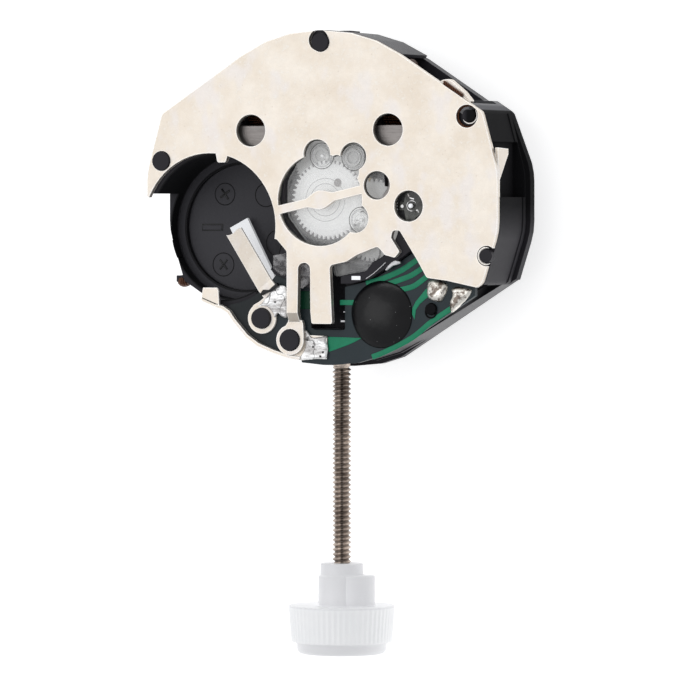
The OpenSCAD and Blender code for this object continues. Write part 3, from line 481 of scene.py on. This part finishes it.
def inset(points, d):
    """The outline moved inwards by d."""
    n = len(points)
    out = []
    area = sum(points[i][0] * points[(i + 1) % n][1] - points[(i + 1) % n][0] * points[i][1] for i in range(n))
    side = 1 if area > 0 else -1
    for i in range(n):
        a, b, c = Vector(points[i - 1]), Vector(points[i]), Vector(points[(i + 1) % n])
        u, w = (b - a).normalized(), (c - b).normalized()
        p = Vector((-u.y, u.x)) + Vector((-w.y, w.x))
        scale = side * d * 2 / max(p.length_squared, 0.5)
        out.append((b.x + p.x * scale, b.y + p.y * scale))
    return out


def sheet(points, z0, z1, edge=0.02):
    """A flat plate with softened upper edges."""
    rings = [[(x, y, z0) for x, y in points], [(x, y, z1 - edge) for x, y in points],
             [(x, y, z1 - edge * 0.3) for x, y in inset(points, edge * 0.3)],
             [(x, y, z1) for x, y in inset(points, edge)]]
    return loops(rings)


def smooth_line(points, steps):
    """A curve through the points."""
    p = [Vector(q) for q in points]
    out = []
    for i in range(len(p) - 1):
        a, b, c, d = p[max(i - 1, 0)], p[i], p[i + 1], p[min(i + 2, len(p) - 1)]
        for k in range(steps):
            t = k / steps
            out.append(0.5 * (2 * b + (c - a) * t + (2 * a - 5 * b + 4 * c - d) * t * t
                              + (3 * b - a - 3 * c + d) * t ** 3))
    return out + [p[-1]]


def ribbon(points, width, z0, z1, steps=6, edge=0.01):
    """A flat strip of one width along a curve."""
    line = smooth_line([(*q, 0) for q in points], steps)
    left, right = [], []
    for i, q in enumerate(line):
        d = (line[min(i + 1, len(line) - 1)] - line[max(i - 1, 0)]).normalized()
        s = Vector((-d.y, d.x, 0)) * width / 2
        left.append((q + s).to_2d())
        right.append((q - s).to_2d())
    return sheet([tuple(q) for q in left + right[::-1]], z0, z1, edge)


def round_ring(centre, radius, thick, z, n=48, m=8):
    """A raised round line."""
    rings = []
    for i in range(m):
        a = 2 * math.pi * i / m
        r, h = radius + thick * math.cos(a), z + thick * math.sin(a)
        rings.append([(centre[0] + r * math.cos(2 * math.pi * j / n), centre[1] + r * math.sin(2 * math.pi * j / n), h)
                      for j in range(n)])
    rings.append(rings[0])
    return loops(rings, False)


def arc_points(centre, radius, a0, a1, n=12):
    turn = [math.radians(a0 + (a1 - a0) * k / n) for k in range(n + 1)]
    return [(centre[0] + radius * math.cos(a), centre[1] + radius * math.sin(a)) for a in turn]


def arc_wire(centre, radius, thick, z, a0, a1):
    """A raised line along part of a circle, thinner towards its ends."""
    n, m = 36, 8
    rings = []
    for j in range(n + 1):
        t = j / n
        a = math.radians(a0 + (a1 - a0) * t)
        w = thick * min(1.0, 0.15 + 5 * t, 0.15 + 5 * (1 - t))
        ring = []
        for i in range(m):
            b = 2 * math.pi * i / m
            r = radius + w * math.cos(b)
            ring.append((centre[0] + r * math.cos(a), centre[1] + r * math.sin(a), z + w * math.sin(b)))
        rings.append(ring)
    return loops(rings)


def shrunk_lines(outline, steps, shares):
    """A closed curve through the outline's points, drawn in to its middle by each of the shares."""
    line = [q.to_2d() for q in smooth_line([(*q, 0) for q in outline + outline[:1]], steps)][:-1]
    cx = sum(q.x for q in line) / len(line)
    cy = sum(q.y for q in line) / len(line)
    return [[(cx + (q.x - cx) * (1 - t), cy + (q.y - cy) * (1 - t)) for q in line] for t in shares]


def puddle(outline, z, height, seed):
    """A blob with that outline that stands up from z, thicker in the middle and uneven."""
    shares = [i / 9 for i in range(10)]
    out = []
    for t, line in zip(shares, shrunk_lines(outline, 6, shares)):
        ring = []
        for x, y in line:
            w = noise.noise(Vector((x * 2.2, y * 2.2, seed)))
            rise = height * (1 - (1 - t) ** 2.4) ** 0.5 * (1 + 0.25 * w)
            ring.append((x, y, z + rise))
        out.append(ring)
    base = [(x, y, z - 0.03) for x, y, _ in out[0]]
    return loops([base] + out)


def flow(outline, z, height, seed):
    """A flat tinned area with a wavy surface and a thin, rounded rim."""
    shares = (0.0, 0.03, 0.08, 0.16, 0.28, 0.42, 0.58, 0.74, 0.9, 0.99)
    lines = shrunk_lines(outline, 5, shares)
    out = [[(x, y, z - 0.02) for x, y in lines[0]]]
    for t, line in zip(shares, lines):
        rim = min(1.0, t / 0.12)
        ring = []
        for x, y in line:
            wave = noise.noise(Vector((x * 2.6, y * 2.6, seed))) * 0.03 * rim
            ring.append((x, y, z + height * rim ** 0.5 + wave))
        out.append(ring)
    return loops(out)


def box(x0, x1, y0, y1, z0, z1, soft=0.03):
    outline = [(x0 + soft, y0), (x1 - soft, y0), (x1, y0 + soft), (x1, y1 - soft), (x1 - soft, y1),
               (x0 + soft, y1), (x0, y1 - soft), (x0, y0 + soft)]
    small = inset(outline, soft * 0.8)
    return loops([[(x, y, z0) for x, y in small], [(x, y, z0 + soft) for x, y in outline],
                  [(x, y, z1 - soft) for x, y in outline], [(x, y, z1) for x, y in small]])


# ---------------------------------------------------------------- stem and knob
def threaded(y0, y1, n=28):
    """The stem's screw thread, which runs out at both ends."""
    end_run, rings_a_turn, half_ridge = 0.15, 9, 0.36
    rings = []
    steps = int((y1 - y0) / THREAD_PITCH * rings_a_turn)
    for i in range(steps + 1):
        y = y0 + (y1 - y0) * i / steps
        end = min(1.0, (y - y0) / end_run, (y1 - y) / end_run)
        ring = []
        for j in range(n):
            a = 2 * math.pi * j / n
            t = (y / THREAD_PITCH + j / n) % 1.0
            ridge = max(0.0, 1 - abs(t - 0.5) / half_ridge) ** 0.75
            r = THREAD_ROOT + (THREAD_CREST - THREAD_ROOT) * ridge * max(end, 0.0)
            ring.append((r * math.cos(a), y, STEM_Z + r * math.sin(a)))
        rings.append(ring)
    return loops(rings)


collar = lathe([(0.30, -7.85), (0.385, -7.82), (0.4, -7.78), (0.4, -5.66), (0.385, -5.62), (0.26, -5.6), (0.26, -5.26),
                (0.385, -5.24), (0.4, -5.2), (0.4, -4.6), (0.36, -4.55), (0.2, -4.54)], (0, STEM_Z), "y", 40)
tip = lathe([(0.2, -2.5), (0.14, -2.46), (0.14, -2.28), (0.1, -2.2), (0.02, -2.19)], (0, STEM_Z), "y", 24)
HALF_SQUARE = 0.21
square = box(-HALF_SQUARE, HALF_SQUARE, -4.6, -2.44, STEM_Z - HALF_SQUARE, STEM_Z + HALF_SQUARE)
piece("stem_dressed", *join(threaded(-17.12, -7.75), collar, square, tip), "stem_and_knob", "stem_steel", smooth=55,
      replaces=["stem"])

KNURLS = 58
KNURL_START, KNURL_LENGTH, KNURL_DEPTH = 1.98, 1.66, 0.035


def knurl(a, r, h):
    """Fine ridges along the disc, run out towards its two faces."""
    inner, first, last = 2.2, -0.02, 1.03
    along = (KNOB_Y - h - KNURL_START) / KNURL_LENGTH
    if r < inner or not first < along < last:
        return r
    fade = min(1.0, max(0.0, (along - first) / 0.08), max(0.0, (last - along) / 0.06))
    return r - KNURL_DEPTH * fade * (0.5 - 0.5 * math.cos(KNURLS * a)) ** 0.7


def knob_profile():
    """Radius and place along the stem: neck, cone, the disc's conical rim and its end."""
    steps = [(0.45, 0), (0.96, 0), (1.0, 0.03), (1.01, 0.5), (1.03, 0.56), (1.07, 0.58), (1.1, 0.62), (1.11, 1.9),
             (1.14, 1.99), (2.3, 1.97), (2.46, 1.96), (2.49, 1.98), (2.5, 2.02)]
    steps += [(2.5 - 0.13 * (k / 8), 2.02 + 1.6 * k / 8) for k in range(1, 9)]
    steps += [(2.36, 3.65), (2.3, 3.68), (2.13, 3.75), (2.11, 3.79), (2.1, 4.02), (2.06, 4.12), (1.97, 4.2),
              (1.86, 4.235), (1.6, 4.24), (1.5, 4.22), (0.4, 4.22), (0.3, 4.24), (0.02, 4.24)]
    return [(r, KNOB_Y - h) for r, h in steps]


# The part of the knob beside its neck
side = lathe([(r, KNOB_Y - h) for r, h in ((0.5, 0.55), (0.88, 0.55), (0.92, 0.59), (0.92, 2.05))],
             (0.7, STEM_Z), "y", 64)
piece("knob_dressed", *join(lathe(knob_profile(), (0, STEM_Z), "y", KNURLS * 6, knurl), side),
      "stem_and_knob", "knob_white", smooth=50, replaces=["knob"])

# ---------------------------------------------------------------- circuit board
LAID = (BOARD_TOP - 0.01, BOARD_TOP + 0.02)
tracks = [
    ribbon([(4.95, -2.62), (4.67, -2.78), (3.92, -3.25), (3.0, -3.63), (2.1, -3.9)], 0.26, *LAID),
    ribbon([(5.4, -2.9), (5.02, -3.11), (4.42, -3.48), (3.81, -3.71), (3.1, -3.95)], 0.25, *LAID),
    ribbon([(5.7, -3.2), (5.33, -3.43), (4.82, -3.80), (4.42, -4.03), (3.7, -4.2)], 0.25, *LAID),
    ribbon([(6.5, -4.95), (5.98, -5.27), (5.33, -5.69), (4.42, -6.39), (3.16, -7.01), (2.4, -7.3)], 0.25, *LAID),
    ribbon([(0.77, -4.78), (1.48, -4.78)], 0.24, *LAID, 2),
    sheet([(5.35, -3.98), (5.23, -4.49), (4.82, -4.82), (4.62, -5.1), (4.56, -5.55), (4.42, -5.3), (4.45, -5.0),
           (4.62, -4.7), (5.1, -4.15)], *LAID, 0.01),
    sheet([(0.15, -6.38), (1.89, -6.42), (1.5, -6.62), (1.17, -6.76), (0.20, -7.09)], *LAID, 0.01),
    sheet([(-1.34, -4.26), (-0.72, -4.26), (-0.72, -5.10), (-1.34, -5.10)], *LAID, 0.01),
]
piece("board_tracks", *join(*tracks), "movement", "board_slate", "green_track", 30)

piece("board_post_ring", *round_ring((5.38, -5.19), 0.27, 0.035, BOARD_TOP + 0.03, 40), "movement", "black_plastic",
      smooth=60)

label = [sheet([(1.5, -3.54), (1.95, -3.54), (1.95, -3.72), (1.5, -3.72)], 3.6, 3.64, 0.01),
         sheet([(0.66, -5.62), (0.86, -5.62), (0.86, -5.7), (0.66, -5.7)], 2.9, 3.0, 0.02),
         sheet([(0.8, -5.2), (0.93, -5.2), (0.93, -5.25), (0.8, -5.25)], 2.9, 3.0, 0.01)]
piece("board_mark", *join(*label), "movement", "film_white", smooth=30)

DOME_R, DOME_RISE, DOME_STEPS = 1.56, 0.52, 18


def dome_profile():
    out = [(DOME_R, BOARD_TOP - 0.01)]
    for k in range(DOME_STEPS + 1):
        r = DOME_R * (1 - k / DOME_STEPS) ** 0.7
        out.append((max(0.01, r), BOARD_TOP + DOME_RISE * (1 - (r / (DOME_R + 0.01)) ** 2) ** 0.8))
    return out


def uneven(a, r, h):
    """The poured cover isn't quite round."""
    return r * (1 + 0.035 * noise.noise(Vector((math.cos(a) * 1.3, math.sin(a) * 1.3, h * 2))))


piece("chip_cover", *lathe(dome_profile(), (2.9, -5.3), "z", 72, uneven), "movement", "epoxy_black", smooth=60,
      replaces=["chip_blob"])

joints = [
    puddle([(5.22, -3.78), (5.58, -3.68), (6.13, -3.82), (6.22, -4.12), (6.03, -4.53), (5.83, -4.72), (5.38, -4.63),
            (5.17, -4.35)], BOARD_TOP, 0.2, 1.5),
    puddle([(6.43, -4.1), (6.73, -4.0), (7.4, -4.12), (7.3, -4.46), (6.95, -4.8), (6.42, -5.2), (6.32, -4.8),
            (6.46, -4.45)], BOARD_TOP, 0.2, 4.2),
]
piece("solder_dressed", *join(*joints), "movement", "solder", smooth=70, replaces=["solder_joints"])

areas = [
    flow([(-3.5, -5.02), (-3.22, -4.86), (-2.95, -4.55), (-2.6, -4.18), (-2.25, -4.0), (-1.95, -4.1), (-1.88, -4.6),
          (-1.88, -5.44), (-2.15, -5.47), (-2.35, -5.3), (-2.52, -5.52), (-2.62, -5.3), (-2.9, -5.02), (-3.2, -4.98)],
         BOARD_TOP + 0.12, 0.06, 7.7),
    flow([(-0.98, -6.5), (-0.95, -6.1), (-0.78, -6.22), (-0.6, -6.42), (-0.2, -6.39), (0.15, -6.34), (0.1, -6.55),
          (0.2, -6.9), (0.14, -7.3), (0.12, -7.42), (-0.31, -7.42), (-0.8, -7.46), (-1.25, -7.45), (-1.05, -7.1),
          (-0.95, -6.8)], BOARD_TOP + 0.12, 0.07, 9.1),
]
piece("tinned_areas", *join(*areas), "movement", "solder", "tinned", 70)

# Painted shade: a black sheet in the gap between the contact's tail and the tinned area
gap_shade = sheet([(-3.22, -4.40), (-3.07, -4.21), (-2.76, -4.22), (-2.61, -4.08), (-2.355, -3.89), (-2.28, -4.02),
             (-2.61, -4.28), (-2.86, -4.35), (-3.12, -4.48)], 3.4, 3.6)
piece("contact_gap_shade", *gap_shade, "movement", "solder", "epoxy_black")

# ---------------------------------------------------------------- moulding with the two ends of its flange run out
# The flange ends at the top between two places in x, and at the right shoulder beyond a corner. Each is drawn in
# by so much. The lower right flank lies beyond a corner too. It has a point on its plane, its outward direction
# and the least and the most that its small steps stand out.
FLANGE_TOP = 0.51
TOP_Y, TOP_END, TOP_DRAW = 7.5, (-2.6, 0.61), 0.45
SIDE_CORNER, SIDE_DRAW = (8.3, 3.9), 0.24
FLANK_CORNER, FLANK_POINT = (1.7, -3.5), Vector((8.2, -3.85))
FLANK_OUT = Vector((3.75, -5.92)).normalized()
STEP_LEAST, STEP_MOST = 0.004, 0.03


def run_out(x, y, z):
    """Draws the flange in towards its ends at the top and at the right shoulder, and evens the lower right flank."""
    proud = (Vector((x, y)) - FLANK_POINT).dot(FLANK_OUT)
    lower_right = x > FLANK_CORNER[0] and y < FLANK_CORNER[1]
    if lower_right and STEP_LEAST < proud < STEP_MOST:
        x, y = x - proud * FLANK_OUT.x, y - proud * FLANK_OUT.y
    if z < FLANGE_TOP and y > TOP_Y and TOP_END[0] < x < TOP_END[1]:
        t = (x - TOP_END[0]) / (TOP_END[1] - TOP_END[0])
        y -= TOP_DRAW * (3 * t * t - 2 * t ** 3)
    elif z < FLANGE_TOP and x > SIDE_CORNER[0] and y > SIDE_CORNER[1]:
        x -= SIDE_DRAW
    return x, y, z


cad = NODES["main_plate"]
verts = [run_out(*(cad.matrix_world @ v.co / MM)) for v in cad.data.vertices]
piece("main_plate_dressed", verts, [tuple(p.vertices) for p in cad.data.polygons], "movement", "black_plastic",
      replaces=["main_plate"])

# ---------------------------------------------------------------- marks on the well's floor: rings, crosses and a bar
CROSSED = (((-6.55, 0.27), 0.52, (35, 125)), ((-6.63, -3.08), 0.55, (50, 130)))
PLAIN = (((-4.4, 0.22), 0.55), ((-3.75, -2.05), 0.62))
UNDER = WELL_FLOOR - 0.02
marks = [sheet([(-7.76, -1.14), (-6.64, -1.14), (-6.64, -1.49), (-7.76, -1.49)], UNDER, WELL_FLOOR + 0.01, 0.01)]
marks += [round_ring(centre, r, 0.022, WELL_FLOOR, 40) for centre, r, *_ in CROSSED + PLAIN]
for centre, _, angles in CROSSED:
    for a in angles:
        c, s = math.cos(math.radians(a)) * 0.3, math.sin(math.radians(a)) * 0.3
        arm = [(centre[0] - c, centre[1] - s), (centre[0] + c, centre[1] + s)]
        marks.append(ribbon(arm, 0.09, UNDER, WELL_FLOOR + 0.04, 2, 0.02))
piece("well_marks", *join(*marks), "movement", "black_plastic", "epoxy_black")
bar = [(-7.71, -1.19), (-6.69, -1.19), (-6.69, -1.44), (-7.71, -1.44)]
piece("well_bar", *sheet(bar, UNDER, WELL_FLOOR + 0.06, 0.04), "movement", "black_plastic")

# The skin of the wall where the well comes through it
skin = arc_points(WELL, 3.46, 190.5, 205) + arc_points(WELL, 3.4, 205, 190.5)
piece("well_skin", *sheet(skin, 0.6, 1.42, 0.01), "movement", "black_plastic")

# The broken end of the moulding's gate, in a notch at the lower left
stub = lathe([(0.02, 0.5), (0.2, 0.54), (0.28, 0.7), (0.3, 0.95), (0.26, 1.15), (0.15, 1.27), (0.02, 1.3)],
             (-8.44, -3.86), "z", 32)
piece("gate_stub", *stub, "movement", "black_plastic", "copper_wire", 60)

# ---------------------------------------------------------------- clear bridge and wheels
rings = [round_ring((0, 0), r, 0.015, BRIDGE_TOP, 72, 6) for r in (0.75, 1.0)]
rings += [round_ring(c, 0.5, 0.025, BRIDGE_TOP + 0.08, 40, 6) for c in BOSSES]
piece("bridge_rings", *join(*rings), "movement", "clear_plastic", smooth=60)
# Painted shade: dark rims around the bosses
painted_rims = [round_ring(c, 0.6, 0.014, BRIDGE_TOP + 0.07, 48, 6) for c in BOSSES]
piece("boss_shade_rims", *join(*painted_rims), "movement", "clear_plastic", "smoky", 60)

# Painted shadow lines along the edges of the plated sheet: each arc of the lobed opening has its centre, radius and two
# angles
LOBES = (((0, 0), 2.15, 115, 188), ((0, 0), 2.15, 198, 316), ((-0.15, 2.13), 0.68, -10, 195),
         ((1.7, 2), 0.66, -50, 175), ((1.79, -0.85), 0.68, -95, 50), ((1.55, 1.3), 0.45, -30, 20),
         ((0.85, 1.75), 0.33, 55, 130))
edges = [round_ring(c, r - 0.015, 0.03, SHEET_UNDER, 48, 6) for c, r in PEEP_HOLES]
edges += [arc_wire(c, r - 0.015, 0.035, SHEET_UNDER, a0, a1) for c, r, a0, a1 in LOBES]
piece("opening_shadow_lines", *join(*edges), "movement", "nickel_sheet", "smoky", 60)

rings = [round_ring((0, 0), r, 0.02, WHEEL_TOP, 72, 6) for r in (1.45, 1.2)]
piece("seconds_wheel_rings", *join(*rings), "seconds_hand_body", "white_gear", smooth=60)
# Painted shade: a dark ring under the teeth that shows in the gaps between them
shade_in, shade_out, shade_under, shade_over = 1.5, 1.84, 2.83, 2.85
tooth_gap_shade = [[(r * math.cos(a), r * math.sin(a), h) for a in (2 * math.pi * j / 96 for j in range(96))]
       for r, h in ((shade_in, shade_under), (shade_in, shade_over), (shade_out, shade_over), (shade_out, shade_under),
                    (shade_in, shade_under))]
piece("seconds_wheel_gap_shade", *loops(tooth_gap_shade, False), "seconds_hand_body", "white_gear", "clear_film")
hole_floor = lathe([(0.198, WHEEL_TOP - 0.1), (0.198, WHEEL_TOP - 0.05), (0.02, WHEEL_TOP - 0.05)], (0.49, 0.8), "z",
                   32)
piece("wheel_hole_floor", *hole_floor, "seconds_hand_body", "white_gear", "soft_iron")

# The rivet over the rotor, painted as a bright highlight, with the film beside the arms, the marks seen through the cap
# and painted glints on the cap
rivet = lathe([(0.11, 3.3), (0.105, 3.68), (0.08, 3.715), (0.02, 3.72)], CAP_POINT, "z", 32)
piece("cap_rivet", *rivet, "movement", "steel", "film_white", 60)
left_film = [(-2.5, -2.6), (-1.74, -2.45), (-1.74, -3.5), (-2.1, -3.55), (-2.5, -3.2)]
right_film = [(-1.08, -2.98), (-0.53, -2.98), (-0.52, -3.5), (-0.62, -3.9), (-1.0, -4.15), (-1.08, -4.1)]
creases = ([(-1.0, -3.1), (-0.75, -3.35), (-0.6, -3.35)], [(-1.05, -3.7), (-0.8, -3.62), (-0.6, -3.8)])
film = [sheet(right_film, 3.6, 3.7, 0.04), sheet(left_film, 3.6, 3.7, 0.05)]
film += [ribbon(crease, 0.06, 3.66, 3.73, 5, 0.02) for crease in creases]
piece("clear_film", *join(*film), "movement", "clear_plastic", "clear_film")
marks = [sheet([(3.6, y - 0.05), (3.74, y - 0.03), (3.74, y + 0.03), (3.6, y + 0.05)], 3.38, 3.43, 0.01)
         for y in (-0.02, -0.16, -0.3, -0.44)]
# Painted glints: a bright ring around the rivet and two bright strips over the cap
marks += [arc_wire(CAP_POINT, 0.24, 0.025, 3.51, 20, 320),
          ribbon([(4.3, 0.28), (4.42, 0.1), (4.62, 0.04)], 0.08, 3.47, 3.53, 5, 0.02),
          ribbon([(4.62, -0.56), (4.78, -0.48), (4.86, -0.62)], 0.07, 3.47, 3.53, 5, 0.02)]
piece("rotor_marks_and_glints", *join(*marks), "movement", "steel", "tinned", 60)

# ---------------------------------------------------------------- metal trim by the board and the posts
# Painted highlights on the rims of the two posts, painted shade on the fold of the clip's hook, painted shade around a
# post, and the sprung strip
painted_rims = [arc_wire((8.4, -2.58), 0.385, 0.05, 3.9, 70, 300), arc_wire((7.55, 3.88), 0.37, 0.03, 3.87, -150, 40)]
piece("post_highlight_rims", *join(*painted_rims), "movement", "nickel_sheet", "contact_sheet", 60)
fold_shade = ribbon([(-6.24, -4.62), (-5.44, -4.93)], 0.05, 3.52, 3.555, 2)
piece("hook_fold_shade", *fold_shade, "movement", "nickel_sheet", "smoky")
piece("post_shade", *arc_wire((7.42, 3.84), 0.49, 0.05, 3.74, 40, 340), "movement", "nickel_sheet", "copper_wire", 60)
trim = [ribbon([(2.25, -3.66), (2.6, -3.44), (2.95, -3.16), (3.25, -2.9)], 0.04, 3.6, 3.68, 5),
        sheet([(3.55, -2.88), (3.72, -2.8), (3.98, -2.86), (3.98, -2.96), (3.62, -3.06), (3.3, -3.28), (3.2, -3.26),
               (3.36, -3.04)], 3.58, 3.66, 0.03)]
piece("jumper_spring", *join(*trim), "movement", "steel")

# ---------------------------------------------------------------- leads of the coil, in the pockets beside the stator
POCKET_X, HALF_LEAD = 3.45, 0.78
leads = []
for side in (-1, 1):
    for k in range(5):
        x, y = side * POCKET_X, 3.5 + 0.12 * k
        sag = 0.05 * noise.noise(Vector((k * 1.7, side, 0.3)))
        line = [(x - HALF_LEAD, y + sag), (x, y - sag), (x + HALF_LEAD, y + sag)]
        leads.append(ribbon(line, 0.1, 2.3, 2.5 + 0.1 * k, 4, 0.04))
piece("coil_leads", *join(*leads), "movement", "copper_wire", smooth=60)

# The loop of wire at the upper right
loop = [(7.12, 4.62), (6.8, 4.84), (6.45, 5.08), (6.2, 5.24)]
strands = [ribbon([(x, y + d) for x, y in loop], 0.06, 3.5, 3.86 - d * 0.3, 4, 0.02) for d in (0.0, 0.075, 0.15, 0.225)]
piece("lug_wires", *join(*strands), "movement", "copper_wire", smooth=60)

# ---------------------------------------------------------------- dial side screws
screw = [(0.15, 0.9), (0.15, 0.1), (0.34, 0.12), (0.34, 0.06), (0.31, 0.025), (0.24, 0.02), (0.2, 0.05)]
piece("screws_dressed", *join(*[lathe(screw, place, "z", 40) for place in SCREWS]), "movement", "steel",
      replaces=["keeper_screws"])

# ---------------------------------------------------------------- camera, light and floor
TILT = math.radians(24.5)
DISTANCE = 0.25
view_z, up = Vector((math.sin(TILT), 0, math.cos(TILT))), Vector((0, 1, 0))
camera = bpy.data.objects.new("camera", bpy.data.cameras.new("camera"))
bpy.context.scene.collection.objects.link(camera)
turn = Matrix((up.cross(view_z), up, view_z)).transposed().to_4x4()
camera.matrix_world = Matrix.Translation(Vector((0, 0, SHEET_TOP * MM)) + view_z * DISTANCE) @ turn
camera.data.sensor_width = 36
camera.data.lens = 284.56
camera.data.shift_x = 0.02985
camera.data.shift_y = -0.2062
camera.data.clip_start = 0.01
camera.data.clip_end = 10
bpy.context.scene.camera = camera
bpy.context.scene.view_settings.view_transform = "Standard"


def lamp(name, place, target, size, power):
    """A soft light, in metres and watts."""
    data = bpy.data.lights.new(name, "AREA")
    data.shape = "RECTANGLE"
    data.size, data.size_y = size
    data.energy = power
    obj = bpy.data.objects.new(name, data)
    obj.location = place
    obj.rotation_euler = (Vector(target) - Vector(place)).to_track_quat("-Z", "Y").to_euler()
    bpy.context.scene.collection.objects.link(obj)


lamp("key", (-0.166, 0.03, 0.364), (0, -0.004, 0), (0.34, 0.36), 0.44)
lamp("upper", (-0.02, 0.34, 0.16), (0, 0, 0), (0.30, 0.10), 0.24)

world = bpy.data.worlds.new("studio")
bpy.context.scene.world = world
world.use_nodes = True
sky = world.node_tree.nodes["Background"]
sky.inputs["Color"].default_value = (0.97, 0.98, 1.0, 1)
sky.inputs["Strength"].default_value = 0.56

HALF_FLOOR, FLOOR_Z = 3, -2.0 * MM
floor_mesh = bpy.data.meshes.new("floor")
floor_mesh.from_pydata([(x * HALF_FLOOR, y * HALF_FLOOR, 0) for x, y in ((-1, -1), (1, -1), (1, 1), (-1, 1))], [],
                       [(0, 1, 2, 3)])
floor = bpy.data.objects.new("floor", floor_mesh)
floor.location = (0, 0, FLOOR_Z)
bpy.context.scene.collection.objects.link(floor)
paper = Shader("paper")
paper.build(paper.mix((0.80, 0.80, 0.80), (0.82, 0.82, 0.82), paper.noise(0.02, 2, 0.5)), 0.8,
            Emission_Color=(1, 1, 1), Emission_Strength=0.62)
floor.data.materials.append(paper.mat)
